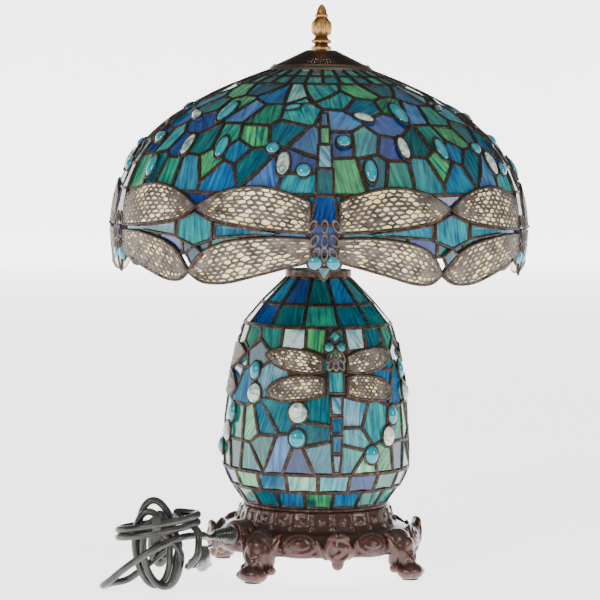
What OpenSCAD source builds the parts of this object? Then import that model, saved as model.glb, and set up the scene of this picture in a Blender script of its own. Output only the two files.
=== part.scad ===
// Leaded-glass table lamp: dragonfly shade on a lit pot body, cast four-foot base,
// two-bulb cluster, vented cap with finial, and a bundled mains cord.
// Frame: +Z up, origin on the floor under the lamp's axis, front of the base towards -Y.

/* [Shade] */
// Largest radius of the shade
shade_r = 206; // [190:1:220]
// Radius of the opening that the cap closes
shade_top_r = 50; // [44:1:56]
// Height of that opening above the floor
shade_top_z = 501; // [495:1:506]
// Height at which the dome turns into the straight skirt
skirt_z = 342; // [335:1:350]
// Lowest point of the skirt, at the wing lobes
rim_z = 300; // [295:1:306]
// Thickness of the glass
glass_t = 3; // [2:0.5:4]
// Number of dragonflies round the shade
shade_flies = 5; // [4:1:6]
// Turn of the shade on its rod, seen from above
shade_turn = -11; // [-36:1:36]

/* [Pot body] */
// Largest radius of the pot
pot_r = 93.5; // [88:0.5:98]
// Height of the pot's top edge
pot_top_z = 296; // [290:1:300]
// Number of dragonflies round the pot
pot_flies = 3; // [2:1:4]
// Number of tiles in the two lowest rows
pot_tiles = 18; // [12:1:24]

/* [Cast base] */
// Radius of the apron at its lower edge
apron_r = 103; // [98:1:108]
// Height of the casting's top ring
ring_z = 67; // [64:1:70]
// Number of bosses round the ring
ring_bosses = 24; // [12:2:32]
// Reach of a toe from the axis
toe_r = 127; // [120:1:132]
// Width of a foot
foot_w = 32; // [26:1:36]
// Thickness of the foot pads
pad_t = 2; // [1:0.5:3]

/* [Fittings] */
// Radius of the threaded rod
rod_r = 5; // [4:0.5:6]
// Top end of the rod
rod_top_z = 541; // [538:1:545]
// Height of the bulb sockets' axis
socket_z = 385; // [375:1:392]
// Largest radius of a bulb
bulb_r = 30; // [25:1:32]
// Full height of the lamp, to the finial's tip
lamp_h = 567; // [562:1:575]

/* [Cord] */
// Diameter of the mains cord
cord_d = 7; // [6:0.5:8]
// Radius of a plug pin
pin_r = 2; // [1.9:0.1:2.4]
// Length of a plug pin
pin_l = 19; // [17:1:20]

/* [Hidden] */
$fn = 96;
running_gap = 0.05;
came_t = 1;
wing_t = 1.5;

bronze = [0.24, 0.13, 0.10];
brass = [0.70, 0.52, 0.25];
lead = [0.20, 0.17, 0.15];
black = [0.06, 0.06, 0.06];
steel = [0.65, 0.65, 0.66];

// The dome is one cubic curve from the cap to the skirt, and the skirt runs straight down.
function cubic(a, b, c, d, t) =
    a * pow(1 - t, 3) + 3 * b * t * pow(1 - t, 2) + 3 * c * t * t * (1 - t) + d * pow(t, 3);
dome_steps = 14;
dome_line = [for (i = [0:dome_steps]) cubic(
    [shade_top_r, shade_top_z], [shade_top_r + 110, shade_top_z - 39],
    [shade_r, skirt_z + 74], [shade_r, skirt_z], i / dome_steps)];
shade_line = concat(dome_line, [[shade_r - 4, rim_z]]);

// The pot's outline: every point is the edge of a row of flat tiles.
pot_line = [
    [30, pot_top_z], [47, 279], [61, 265], [74, 248], [79, 229], [84, 205],
    [88.5, 178], [91.5, 151], [pot_r, 108], [88, 92], [79, 81], [72, 70]
];

// Moves every point of an outline outwards by t, square to the outline.
function unit(v) = v / norm(v);
function edge_dir(line, i) = unit(line[min(i + 1, len(line) - 1)] - line[max(i - 1, 0)]);
function grown(line, t) = [for (i = [0:len(line) - 1])
    line[i] + t * [-edge_dir(line, i)[1], edge_dir(line, i)[0]]];
function reversed(a) = [for (i = [len(a) - 1:-1:0]) a[i]];

// Height on an outline turned into its radius there.
function line_r(line, z, i = 0) =
    z >= line[i + 1][1] || i == len(line) - 2
    ? line[i][0] + (line[i + 1][0] - line[i][0]) * (z - line[i][1]) / (line[i + 1][1] - line[i][1])
    : line_r(line, z, i + 1);
// Tilt of the outline's outward normal above the horizontal.
function line_tilt(line, z) = atan2(line_r(line, z - 2) - line_r(line, z + 2), 4);

// A skin between two offsets of an outline, turned about the axis.
module skin(line, t0, t1, angle = 360) {
    rotate_extrude(angle = angle)
        polygon(concat(grown(line, t0), reversed(grown(line, t1))));
}

// Puts children on an outline at an azimuth and a height, their +Z along the normal.
module on_line(line, azimuth, z) {
    rotate([0, 0, azimuth])
        translate([line_r(line, z), 0, z])
            rotate([0, 90 - line_tilt(line, z), 0])
                children();
}

// A glass cabochon with a flat back.
module cabochon(r, h) {
    rotate_extrude($fn = 48)
        intersection() {
            translate([0, h - (r * r + h * h) / (2 * h)])
                circle(r = (r * r + h * h) / (2 * h), $fn = 96);
            square([r + 1, h + 1]);
        }
}

// A leaf outline along +X, made of two arcs.
module leaf(length, width) {
    arc_r = (length * length / 4 + width * width / 4) / width;
    intersection() {
        translate([length / 2, arc_r - width / 2])
            circle(r = arc_r);
        translate([length / 2, width / 2 - arc_r])
            circle(r = arc_r);
    }
}

// A radial prism of a flat outline whose X runs round the axis and whose Y is height.
module radial_cut(azimuth, from, reach) {
    rotate([0, 0, azimuth])
        translate([from, 0, 0])
            rotate([90, 0, 90])
                linear_extrude(height = reach)
                    children();
}

module at_feet() {
    for (i = [0:3])
        rotate([0, 0, 45 + 90 * i])
            children();
}

module tube(r_out, r_in, z0, z1) {
    difference() {
        translate([0, 0, z0])
            cylinder(r = r_out, h = z1 - z0);
        translate([0, 0, z0 - 1])
            cylinder(r = r_in, h = z1 - z0 + 2);
    }
}

module hex_nut(flats, z0, z1) {
    difference() {
        translate([0, 0, z0])
            cylinder(d = flats / cos(30), h = z1 - z0, $fn = 6);
        translate([0, 0, z0 - 1])
            cylinder(r = rod_r + running_gap, h = z1 - z0 + 2);
    }
}

// ---- Base ----
pad_r = 8;
pad_place = 112;
plate_z = 27;
plate_t = 2;
ledge_t = 4;
screw_place = 92;
screw_r = 2;
cord_exit_turn = -154.5;
cord_exit_z = 44;
exit_bore_r = 9;

module foot_pads() {
    color(black)
        at_feet()
            translate([pad_place, 0, 0])
                cylinder(r = pad_r, h = pad_t);
}

module apron_shell() {
    rotate_extrude()
        polygon([
            [58, ring_z], [73, ring_z], [75, 62], [78, 53], [84, 47], [93, 44],
            [99, 38], [apron_r, 31], [apron_r, 26], [98, 26],
            [98, plate_z + plate_t], [86, plate_z + plate_t],
            [86, plate_z + plate_t + ledge_t], [94, 35], [89, 40], [80, 43], [72, 50], [68, 62], [58, 63]
        ]);
}

// One cast foot: a knee over a paw, with an oval cartouche on the knee.
module foot() {
    intersection() {
        translate([0, foot_w / 2, 0])
            rotate([90, 0, 0])
                linear_extrude(height = foot_w)
                    polygon([
                        [91, 44], [101, 43], [109, 37], [112, 28], [114, 19], [120, 13],
                        [126, 10], [toe_r, 5], [124, pad_t], [102, pad_t], [99, 8],
                        [100, 20], [99, 30], [95, 38]
                    ]);
        translate([96, 0, -1])
            cylinder(r = toe_r - 95.5, h = 50);
    }
    translate([108, 0, 30])
        rotate([0, 70, 0])
            translate([0, 0, -2])
                cylinder(r = 9, h = 8);
}

module rosette() {
    translate([98.5, 0, 35])
        rotate([0, 90, 0])
            cylinder(r = 15, h = 7.5);
    translate([105, 0, 35])
        sphere(r = 6, $fn = 48);
}

module base_casting() {
    color(bronze)
        difference() {
            union() {
                rotate([0, 0, 13])
                    apron_shell();
                for (i = [0:3]) {
                    rotate([0, 0, 45 + 90 * i])
                        foot();
                    rotate([0, 0, 90 * i])
                        rosette();
                }
                for (i = [0:ring_bosses - 1])
                    rotate([0, 0, (i + 0.5) * 360 / ring_bosses])
                        translate([72, 0, 57])
                            rotate([0, 90, 0])
                                cylinder(r = 3.4, h = 6.5);
                rotate([0, 0, cord_exit_turn])
                    translate([84, 0, cord_exit_z])
                        rotate([0, 90, 0])
                            cylinder(r = 13, h = 19);
            }
            rotate([0, 0, cord_exit_turn])
                translate([60, 0, cord_exit_z])
                    rotate([0, 90, 0])
                        cylinder(r = exit_bore_r, h = 60);
            for (i = [0:3])
                rotate([0, 0, 20 + 90 * i])
                    translate([screw_place, 0, plate_z])
                        cylinder(r = screw_r + running_gap, h = 7, $fn = 32);
        }
}

module base_plate() {
    color(steel)
        difference() {
            translate([0, 0, plate_z])
                cylinder(r = 97, h = plate_t);
            translate([0, 0, plate_z - 1])
                cylinder(r = rod_r + running_gap, h = plate_t + 2);
            for (i = [0:3])
                rotate([0, 0, 20 + 90 * i])
                    translate([screw_place, 0, plate_z - 1])
                        cylinder(r = screw_r + running_gap, h = plate_t + 2, $fn = 32);
        }
}

module base_screws() {
    color(steel)
        for (i = [0:3])
            rotate([0, 0, 20 + 90 * i])
                translate([screw_place, 0, plate_z]) {
                    cylinder(r = screw_r, h = 6, $fn = 32);
                    translate([0, 0, -1.8])
                        cylinder(r = 3.8, h = 1.8, $fn = 32);
                }
}

module rod_nut() {
    color(steel)
        hex_nut(17, plate_z - 6, plate_z);
}

// ---- Pot body ----
pot_twist = -90;

module pot_seat() {
    color(lead)
        tube(72, 60, ring_z, 70);
}

module pot_glass() {
    color([0.10, 0.40, 0.50])
        skin(pot_line, 0, -glass_t);
}

// Lead round the rows and up the columns of the pot.
module pot_came() {
    color(lead) {
        for (i = [1:3])
            skin([pot_line[i] + [-0.9, 0.9], pot_line[i] + [0.5, -1.6]], 0, came_t);
        skin([pot_line[8] + [0, 1.8], pot_line[8] + [0, -1.8]], 0, came_t + 0.4);
        skin([pot_line[9] + [0.9, 1.2], pot_line[9] + [-1.2, -1.2]], 0, came_t);
        for (i = [0:pot_tiles - 1])
            rotate([0, 0, i * 360 / pot_tiles])
                skin([for (k = [8:11]) pot_line[k]], 0, came_t, 2.2);
    }
}

// One dragonfly: four leaves and a body column, in the flat.
module fly_outline(span, root, top, width, tail) {
    for (side = [0, 1])
        mirror([side, 0]) {
            translate([root, top])
                rotate(4)
                    leaf(span, width);
            translate([root, top - width - 3])
                rotate(-9)
                    leaf(span, width);
        }
    translate([-root, top - tail])
        square([2 * root, tail + 8]);
}

module pot_wings() {
    color([0.55, 0.50, 0.40])
        for (i = [0:pot_flies - 1])
            intersection() {
                skin([for (k = [3:8]) pot_line[k]], 0, wing_t);
                radial_cut(pot_twist + i * 360 / pot_flies, 40, 70)
                    translate([0, 208])
                        fly_outline(62, 6, 0, 20, 88);
            }
}

module pot_jewels() {
    color([0.10, 0.75, 0.80])
        for (i = [0:pot_flies - 1]) {
            for (side = [-1, 1])
                on_line(pot_line, pot_twist + i * 360 / pot_flies + side * 6.5, 222)
                    cabochon(5, 3.5);
            for (spot = [[-46, 200], [-43, 178], [-22, 158], [-26, 132], [40, 199], [43, 178], [36, 156], [28, 120]])
                on_line(pot_line, pot_twist + i * 360 / pot_flies + spot[0], spot[1])
                    cabochon(9, 4);
        }
}

module pot_collar() {
    color(lead)
        tube(33, rod_r + running_gap, pot_top_z, pot_top_z + 6);
}

module collar_nut() {
    color(brass)
        hex_nut(19, pot_top_z + 6, pot_top_z + 12);
}

// ---- Rod and lamp holders ----
module centre_rod() {
    color(brass)
        difference() {
            tube(rod_r, 3.6, 18, rod_top_z);
            rotate([0, 0, cord_exit_turn])
                translate([0, 0, cord_exit_z])
                    rotate([0, 90, 0])
                        cylinder(r = 2.7, h = 20, $fn = 32);
        }
}

module supply_lead() {
    color(black)
        rotate([0, 0, cord_exit_turn])
            translate([1, 0, cord_exit_z])
                rotate([0, 90, 0])
                    cylinder(r = 2.5, h = 77, $fn = 32);
}

module stem_tube() {
    color(brass)
        tube(8, rod_r + running_gap, pot_top_z + 12, socket_z - 16);
}

bracket_reach = 36;
base_socket_z = 112;

module base_bracket() {
    color(steel)
        difference() {
            union() {
                translate([-10, -10, base_socket_z - 2])
                    cube([bracket_reach + 20, 20, 2]);
                tube(10, rod_r, base_socket_z, base_socket_z + 6);
            }
            translate([0, 0, base_socket_z - 3])
                cylinder(r = rod_r + running_gap, h = 20);
        }
}

module base_socket() {
    color(black)
        translate([bracket_reach, 0, 0])
            difference() {
                translate([0, 0, base_socket_z])
                    cylinder(r = 12, h = 34);
                translate([0, 0, base_socket_z + 8])
                    cylinder(r = 7, h = 40);
            }
}

module base_bulb() {
    color([0.95, 0.93, 0.85])
        translate([bracket_reach, 0, base_socket_z + 9])
            rotate_extrude()
                polygon([
                    [0, 0], [4, 0], [7 - running_gap, 3], [7 - running_gap, 26], [10, 30],
                    [15, 42], [17, 52], [15, 64], [9, 78], [3, 88], [0, 90]
                ]);
}

cluster_r = 20;
arm_end = 42;
socket_end = 84;
cap_r = 13.3;

module cluster_body() {
    color(brass)
        difference() {
            union() {
                translate([0, 0, socket_z - 16])
                    cylinder(r = cluster_r, h = 30);
                translate([0, 0, socket_z + 14])
                    cylinder(r1 = cluster_r, r2 = 11, h = 8);
            }
            translate([0, 0, socket_z - 20])
                cylinder(r = rod_r + running_gap, h = 60);
        }
}

module cluster_arms() {
    color(brass)
        for (side = [0, 1])
            rotate([0, 0, 180 * side])
                translate([cluster_r - 0.4, 0, socket_z])
                    rotate([0, 90, 0])
                        cylinder(r = 6, h = arm_end - cluster_r + 0.4);
}

module socket_shell() {
    difference() {
        rotate_extrude()
            polygon([
                [0, arm_end], [10, arm_end], [17, arm_end + 6], [17, arm_end + 20],
                [18.5, arm_end + 21], [18.5, socket_end], [0, socket_end]
            ]);
        translate([0, 0, arm_end + 10])
            cylinder(r = cap_r + running_gap, h = 60);
    }
}

module bulb_shape() {
    rotate_extrude()
        polygon([
            [0, arm_end + 11], [6, arm_end + 11], [cap_r, arm_end + 16], [cap_r, socket_end + 4],
            [19, socket_end + 16], [27, socket_end + 30], [bulb_r, socket_end + 46],
            [28, socket_end + 59], [21, socket_end + 69], [10, socket_end + 75], [0, socket_end + 76]
        ]);
}

module sideways(side) {
    translate([0, 0, socket_z])
        rotate([0, 90 * side, 0])
            children();
}

module socket_left() {
    color(black)
        sideways(-1)
            socket_shell();
}

module socket_right() {
    color(black)
        sideways(1)
            socket_shell();
}

module bulb_left() {
    color([0.97, 0.96, 0.92])
        sideways(-1)
            bulb_shape();
}

module bulb_right() {
    color([0.97, 0.96, 0.92])
        sideways(1)
            bulb_shape();
}

// ---- Shade ----
cap_z = 505;
cap_top_z = 521;
cap_hole_r = rod_r + 0.1;
cap_edge_r = 47;
front_fly = -90 + shade_turn;
fly_step = 360 / shade_flies;
eye_z = 321;

module shade_nut() {
    color(brass)
        hex_nut(19, cap_top_z - 9, cap_top_z - 2.2);
}

// Vented cap: a pierced cone that sits on the shade's ring.
module shade_cap() {
    color(bronze)
        difference() {
            rotate_extrude()
                polygon([
                    [0, cap_top_z], [13, cap_top_z], [15, cap_top_z - 1], [30, 513], [cap_edge_r, cap_z],
                    [cap_edge_r, cap_z - 2], [29, 511], [14, cap_top_z - 3], [12, cap_top_z - 2], [0, cap_top_z - 2]
                ]);
            cylinder(r = cap_hole_r, h = 600);
            for (row = [0:2], i = [0:15])
                rotate([0, 0, (i + row / 2) * 360 / 16])
                    translate([22 + 8 * row, 0, 490])
                        cylinder(r = 1.6 + 0.5 * row, h = 60, $fn = 24);
        }
}

module shade_ring() {
    color(steel)
        tube(shade_top_r + 0.5, cap_edge_r - 6, shade_top_z, cap_z - 2);
}

module scallop_cuts() {
    for (i = [0:shade_flies - 1]) {
        for (side = [-1, 1])
            radial_cut(front_fly + i * fly_step, 140, 90)
                translate([side * 29, rim_z + 1])
                    circle(r = 19);
        radial_cut(front_fly + (i + 0.5) * fly_step, 140, 90)
            translate([0, rim_z - 16])
                circle(r = 24);
    }
}

module scalloped(t0, t1) {
    difference() {
        skin(shade_line, t0, t1);
        scallop_cuts();
    }
}

module shade_glass() {
    color([0.12, 0.45, 0.55])
        scalloped(0, -glass_t);
}

// Lead rings between the bands of glass.
module shade_came() {
    color(lead) {
        for (i = [1, 3, 6, 9, 12])
            skin([shade_line[i], shade_line[i] + 3.5 * edge_dir(shade_line, i)], 0, came_t);
        skin([[shade_r, skirt_z], [shade_r - 0.3, skirt_z - 4]], 0, came_t);
    }
}

module shade_wings() {
    color([0.85, 0.80, 0.62])
        for (i = [0:shade_flies - 1])
            intersection() {
                difference() {
                    skin([for (k = [8:dome_steps + 1]) shade_line[k]], 0, wing_t);
                    scallop_cuts();
                }
                radial_cut(front_fly + i * fly_step, 140, 90)
                    translate([0, 358])
                        fly_outline(112, 11, 0, 38, 48);
            }
}

// Height, turn from the dragonfly and radius of the loose cabochons in a sector.
jewel_spots = [[-24, 425, 8], [-12, 408, 7], [-8, 426, 7], [8, 428, 7], [14, 402, 8], [24, 455, 9], [32, 428, 9]];

module shade_jewels() {
    color([0.10, 0.78, 0.82])
        for (i = [0:shade_flies - 1]) {
            for (side = [-1, 1])
                on_line(shade_line, front_fly + i * fly_step + side * 2.4, eye_z)
                    cabochon(6.5, 3.5);
            for (spot = jewel_spots)
                on_line(shade_line, front_fly + i * fly_step + spot[0], spot[1])
                    cabochon(spot[2], 3.5);
        }
}

// Stiffening wire that follows the inside of the skirt.
module rim_wire() {
    color(lead)
        rotate_extrude()
            translate([shade_r - 5.2, skirt_z - 12])
                circle(r = 1.2, $fn = 16);
}

module finial() {
    color(brass)
        difference() {
            translate([0, 0, cap_top_z + 0.2])
                rotate_extrude()
                    polygon([
                        [0, 0], [9, 0], [10.5, 2], [9, 5], [7, 7], [7.5, 10], [10.3, 15], [10.5, 19],
                        [8, 25], [6.5, 28], [9, 30], [9.4, 32], [7, 34], [6.4, 37], [5, 42],
                        [1.5, lamp_h - cap_top_z - 1], [0, lamp_h - cap_top_z - 0.2]
                    ]);
            translate([0, 0, cap_top_z - 1])
                cylinder(r = rod_r + running_gap, h = rod_top_z - cap_top_z + 1.5);
        }
}

// ---- Cord ----
// The bundle stands beside the lamp, turned a little from the lamp's front.
bundle_turn = -12.5;
hank_x = -151;
hank_y = -140;
hank_h = 90;
hank_w = 44;
hank_t = 36;
wrap_w = 78;
wrap_t = 50;
wrap_z = 45;
wrap_h = 26;
relief_l = 20;
exit_r = 103;

module cord_exit() {
    rotate([0, 0, cord_exit_turn])
        translate([0, 0, cord_exit_z])
            rotate([0, 90, 0])
                children();
}

module strain_relief() {
    color(black)
        cord_exit() {
            translate([0, 0, 78])
                cylinder(r = exit_bore_r - running_gap, h = exit_r - 78);
            translate([0, 0, exit_r])
                cylinder(r = 11, h = 3);
            translate([0, 0, exit_r + 3])
                cylinder(r1 = 7.5, r2 = 5, h = relief_l);
        }
}

// Centre line of the cord from the strain relief's tip to the bundle.
cord_route = [[-113.7, -54.3, 44], [-122, -70, 45], [-128, -89, 48], [-135, -103, 52], [-146, -111, 56]];
cord_sides = 10;
rings_per_leg = 3;

function smooth_point(p, i, t) =
    let (
        a = p[max(i - 1, 0)],
        b = p[i],
        c = p[i + 1],
        d = p[min(i + 2, len(p) - 1)]
    )
    0.5 * (2 * b + (c - a) * t + (2 * a - 5 * b + 4 * c - d) * t * t + (3 * b - a - 3 * c + d) * t * t * t);
cord_line = concat(
    [for (i = [0:len(cord_route) - 2], k = [0:rings_per_leg - 1]) smooth_point(cord_route, i, k / rings_per_leg)],
    [cord_route[len(cord_route) - 1]]);
function ring_at(line, i) =
    let (
        way = unit(line[min(i + 1, len(line) - 1)] - line[max(i - 1, 0)]),
        across = unit(cross(way, [0, 0, 1])),
        up = cross(across, way)
    )
    [for (k = [0:cord_sides - 1])
        line[i] + cord_d / 2 * (across * cos(k * 360 / cord_sides) + up * sin(k * 360 / cord_sides))];

module cord_run() {
    rings = len(cord_line);
    color(black)
        polyhedron(
            points = [for (i = [0:rings - 1]) each ring_at(cord_line, i)],
            faces = concat(
                [[for (k = [0:cord_sides - 1]) k]],
                [for (i = [0:rings - 2], k = [0:cord_sides - 1])
                    let (a = i * cord_sides + k, b = i * cord_sides + (k + 1) % cord_sides)
                    [a, a + cord_sides, b + cord_sides, b]],
                [[for (k = [cord_sides - 1:-1:0]) (rings - 1) * cord_sides + k]]));
}

module stadium(length, width) {
    for (end = [-1, 1])
        translate([end * (length - width) / 2, 0])
            circle(d = width);
    square([length - width, width], center = true);
}

module cord_hank() {
    color(black)
        rotate([0, 0, bundle_turn])
            translate([hank_x, hank_y, 0]) {
                translate([0, hank_t / 2, hank_h / 2])
                    rotate([90, 90, 0])
                        linear_extrude(height = hank_t)
                            stadium(hank_h, hank_w);
                translate([0, 0, wrap_z])
                    linear_extrude(height = wrap_h)
                        stadium(wrap_w, wrap_t);
            }
}

module cord_tie() {
    color(steel)
        rotate([0, 0, bundle_turn])
            translate([hank_x - 4, hank_y - wrap_t / 2 - 1.2, wrap_z - 2])
                cube([8, 1.2, wrap_h + 4]);
}

switch_w = 24;
switch_l = 56;
switch_t = 18;
switch_z = 44;
switch_y = hank_y + wrap_t / 2 + switch_t / 2;
pivot_y = switch_t / 2 - 4;
pocket_l = 18;
pocket_w = 12;

module in_switch() {
    rotate([0, 0, bundle_turn])
        translate([hank_x, switch_y, switch_z])
            children();
}

module switch_pivot(r, length) {
    translate([-length / 2, pivot_y, 0])
        rotate([0, 90, 0])
            cylinder(r = r, h = length, $fn = 32);
}

module switch_housing() {
    color(black)
        in_switch()
            difference() {
                translate([0, switch_t / 2, 0])
                    rotate([90, 90, 0])
                        linear_extrude(height = switch_t)
                            stadium(switch_l, switch_w);
                translate([-pocket_w / 2, pivot_y - 4.5, -pocket_l / 2])
                    cube([pocket_w, 20, pocket_l]);
                switch_pivot(1.5 + running_gap, 17);
            }
}

module switch_rocker() {
    color([0.10, 0.10, 0.10])
        in_switch() {
            translate([0, pivot_y, 0])
                rotate([-7, 0, 0])
                    translate([-5.7, -3, -8.2])
                        cube([11.4, 8.5, 16.4]);
            switch_pivot(1.5, 16);
        }
}

plug_turn = 60;
plug_x = -142.8;
plug_y = -99.4;
plug_z = 24;
plug_l = 35;

module in_plug() {
    translate([plug_x, plug_y, plug_z])
        rotate([0, 0, plug_turn])
            children();
}

module plug_body() {
    color([0.20, 0.20, 0.20])
        in_plug()
            translate([0, 7, 0])
                rotate([90, 0, 0])
                    linear_extrude(height = 14)
                        polygon([
                            [0, -5], [14, -6], [22, -12], [plug_l, -13],
                            [plug_l, 13], [22, 12], [14, 6], [0, 5]
                        ]);
}

module plug_pins() {
    color(steel)
        in_plug()
            for (side = [-1, 1])
                translate([plug_l, 0, 9.5 * side])
                    rotate([0, 90, 0])
                        cylinder(r = pin_r, h = pin_l);
}

foot_pads();
base_casting();
base_plate();
base_screws();
rod_nut();
pot_seat();
pot_glass();
pot_came();
pot_wings();
pot_jewels();
pot_collar();
centre_rod();
collar_nut();
stem_tube();
base_bracket();
base_socket();
base_bulb();
supply_lead();
cluster_body();
cluster_arms();
socket_left();
socket_right();
bulb_left();
bulb_right();
shade_nut();
shade_cap();
shade_ring();
shade_glass();
shade_came();
shade_wings();
shade_jewels();
rim_wire();
finial();
strain_relief();
cord_run();
cord_hank();
cord_tie();
switch_housing();
switch_rocker();
plug_body();
plug_pins();
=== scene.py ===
"""Leaded-glass dragonfly table lamp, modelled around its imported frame."""
import math
import random

import bpy
from bpy.props import FloatProperty, FloatVectorProperty, IntProperty, PointerProperty
from mathutils import Matrix, Vector


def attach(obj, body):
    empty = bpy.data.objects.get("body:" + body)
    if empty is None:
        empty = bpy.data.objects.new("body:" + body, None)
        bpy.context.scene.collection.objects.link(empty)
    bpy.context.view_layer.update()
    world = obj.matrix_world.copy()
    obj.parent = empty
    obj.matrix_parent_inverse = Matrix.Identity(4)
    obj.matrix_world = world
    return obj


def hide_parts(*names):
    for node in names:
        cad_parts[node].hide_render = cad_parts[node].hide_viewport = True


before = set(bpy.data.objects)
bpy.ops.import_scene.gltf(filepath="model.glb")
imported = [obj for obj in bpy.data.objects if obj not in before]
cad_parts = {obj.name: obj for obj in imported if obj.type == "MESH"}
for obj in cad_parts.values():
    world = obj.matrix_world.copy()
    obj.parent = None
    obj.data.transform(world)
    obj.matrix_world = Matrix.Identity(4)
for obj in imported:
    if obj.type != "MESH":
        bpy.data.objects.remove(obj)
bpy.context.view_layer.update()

bl_info = {
    "name": "Dragonfly Lamp",
    "version": (1, 0, 0),
    "blender": (4, 5, 0),
    "location": "3D View > Sidebar > Lamp",
    "description": "Builds a leaded-glass dragonfly lamp around its frame",
    "category": "Add Mesh",
}

MM = 0.001

# Places in mm and turns in degrees.
EXIT_TURN = -154.5          # where the cord leaves the base, round the lamp's axis
EXIT_HEIGHT = 44
BUNDLE_TURN = -12.5         # the bundle's own axes against the lamp's
BUNDLE_MIDDLE = -151        # of the hank, across the bundle
CORD_LIE = 4.2              # height of the cord's middle where it lies on the floor
CORD_PITCH = 7.4            # between the middles of two touching turns
TURN_POINTS = 14            # knots in one turn of the hank or of the waist wraps
HANK_STEP = 0.53            # along the hank from one knot to the next
PLUG_PLACE, PLUG_TURN = (-142.8, -99.4, 24), 60
PIN_SPACING = 19
SWITCH_HEIGHT = 44

# The stage, in metres and degrees: the lights' place, size and power.
CAMERA_PLACE = Vector((-0.6493, -2.9289, 0.491))
CAMERA_TARGET = Vector((-0.0176, 0.0039, 0.2710))
CAMERA_ANGLE, CAMERA_ROLL = 11.42, 0.72
LIGHT_TARGET = Vector((0, 0, 0.27))
LIGHTS = {
    "key_light": ((-1.7, -1.6, 1.5), 0.8, 25),
    "fill_light": ((1.9, -1.3, 0.9), 0.7, 13),
    "top_light": ((0.3, -0.6, 2.3), 2.2, 13),
    "side_light": ((-2.2, 0.5, 0.5), 1.0, 9),
}


# ---------------------------------------------------------------- tools of the bench

def moved(x, y, z):
    """A move in mm."""
    return Matrix.Translation((x * MM, y * MM, z * MM))


def rolled(degrees, axis="Z"):
    """A turn about an axis."""
    return Matrix.Rotation(math.radians(degrees), 4, axis)


def put_down():
    """Leaves edit mode and deselects every object."""
    if bpy.context.mode != "OBJECT":
        bpy.ops.object.mode_set(mode="OBJECT")
    bpy.ops.object.select_all(action="DESELECT")


def pick_up(piece):
    """Makes one piece the only selected and active object."""
    put_down()
    piece.select_set(True)
    bpy.context.view_layer.objects.active = piece


def edit(piece, action="SELECT"):
    """Opens a piece in edit mode with all or nothing selected."""
    pick_up(piece)
    bpy.ops.object.mode_set(mode="EDIT")
    bpy.ops.mesh.select_all(action=action)


def settle(name):
    """Closes edit mode, applies the transform and names the active piece."""
    if bpy.context.mode != "OBJECT":
        bpy.ops.object.mode_set(mode="OBJECT")
    piece = bpy.context.active_object
    bpy.ops.object.transform_apply(location=True, rotation=True, scale=True)
    piece.name = name
    piece.data.name = name
    return piece


def joined(pieces, name):
    """Joins several pieces into one."""
    put_down()
    for piece in pieces:
        piece.select_set(True)
    bpy.context.view_layer.objects.active = pieces[0]
    if len(pieces) > 1:
        bpy.ops.object.join()
    pieces[0].name = name
    pieces[0].data.name = name
    return pieces[0]


def copied(piece, matrix, name):
    """A copy of a piece with its own mesh, moved by a matrix."""
    twin = piece.copy()
    twin.data = piece.data.copy()
    twin.data.transform(matrix)
    if matrix.determinant() < 0:
        twin.data.flip_normals()
    twin.name = name
    bpy.context.collection.objects.link(twin)
    return twin


def ring_of(piece, count, name, first_turn=0.0):
    """Copies of a piece at equal turns about the lamp's axis, joined."""
    twins = [copied(piece, Matrix.Rotation(first_turn + k * math.tau / count, 4, "Z"), name)
             for k in range(count)]
    bpy.data.objects.remove(piece)
    return joined(twins, name)


def righted(piece):
    """Turns a piece's faces outwards."""
    edit(piece)
    bpy.ops.mesh.normals_make_consistent(inside=False)
    bpy.ops.object.mode_set(mode="OBJECT")
    return piece


def modified(piece, kind, **settings):
    """Adds a modifier and applies it."""
    pick_up(piece)
    modifier = piece.modifiers.new(kind.title(), kind)
    for key, value in settings.items():
        setattr(modifier, key, value)
    bpy.ops.object.modifier_apply(modifier=modifier.name)


def smooth(piece, angle=40.0):
    """Smooths shading under an angle in degrees."""
    pick_up(piece)
    bpy.ops.object.shade_smooth_by_angle(angle=math.radians(angle))
    return piece


def lathe(name, line, steps=96, closed=False):
    """Turns an outline of (radius, height) points, in mm, about the lamp's axis."""
    put_down()
    bpy.ops.mesh.primitive_plane_add(size=0.001)
    bpy.ops.object.mode_set(mode="EDIT")
    bpy.ops.mesh.select_mode(type="VERT")
    bpy.ops.mesh.select_all(action="SELECT")
    bpy.ops.mesh.merge(type="CENTER")
    radius, height = line[0]
    bpy.ops.transform.translate(value=(radius * MM, 0, height * MM))
    points = list(line[1:]) + ([line[0]] if closed else [])
    for to_radius, to_height in points:
        step = ((to_radius - radius) * MM, 0, (to_height - height) * MM)
        bpy.ops.mesh.extrude_region_move(TRANSFORM_OT_translate={"value": step})
        radius, height = to_radius, to_height
    bpy.ops.mesh.select_all(action="SELECT")
    bpy.ops.mesh.spin(steps=steps, angle=math.tau, center=(0, 0, 0), axis=(0, 0, 1))
    bpy.ops.mesh.select_all(action="SELECT")
    bpy.ops.mesh.remove_doubles(threshold=0.00001)
    bpy.ops.mesh.normals_make_consistent(inside=False)
    return settle(name)


def ball(name, radii, matrix, segments=24, rings=14):
    """An ellipsoid with three radii in mm, put in place by a matrix."""
    put_down()
    bpy.ops.mesh.primitive_uv_sphere_add(segments=segments, ring_count=rings, radius=1)
    bpy.ops.object.mode_set(mode="EDIT")
    bpy.ops.transform.resize(value=tuple(radius * MM for radius in radii))
    piece = settle(name)
    piece.data.transform(matrix)
    return piece


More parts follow.
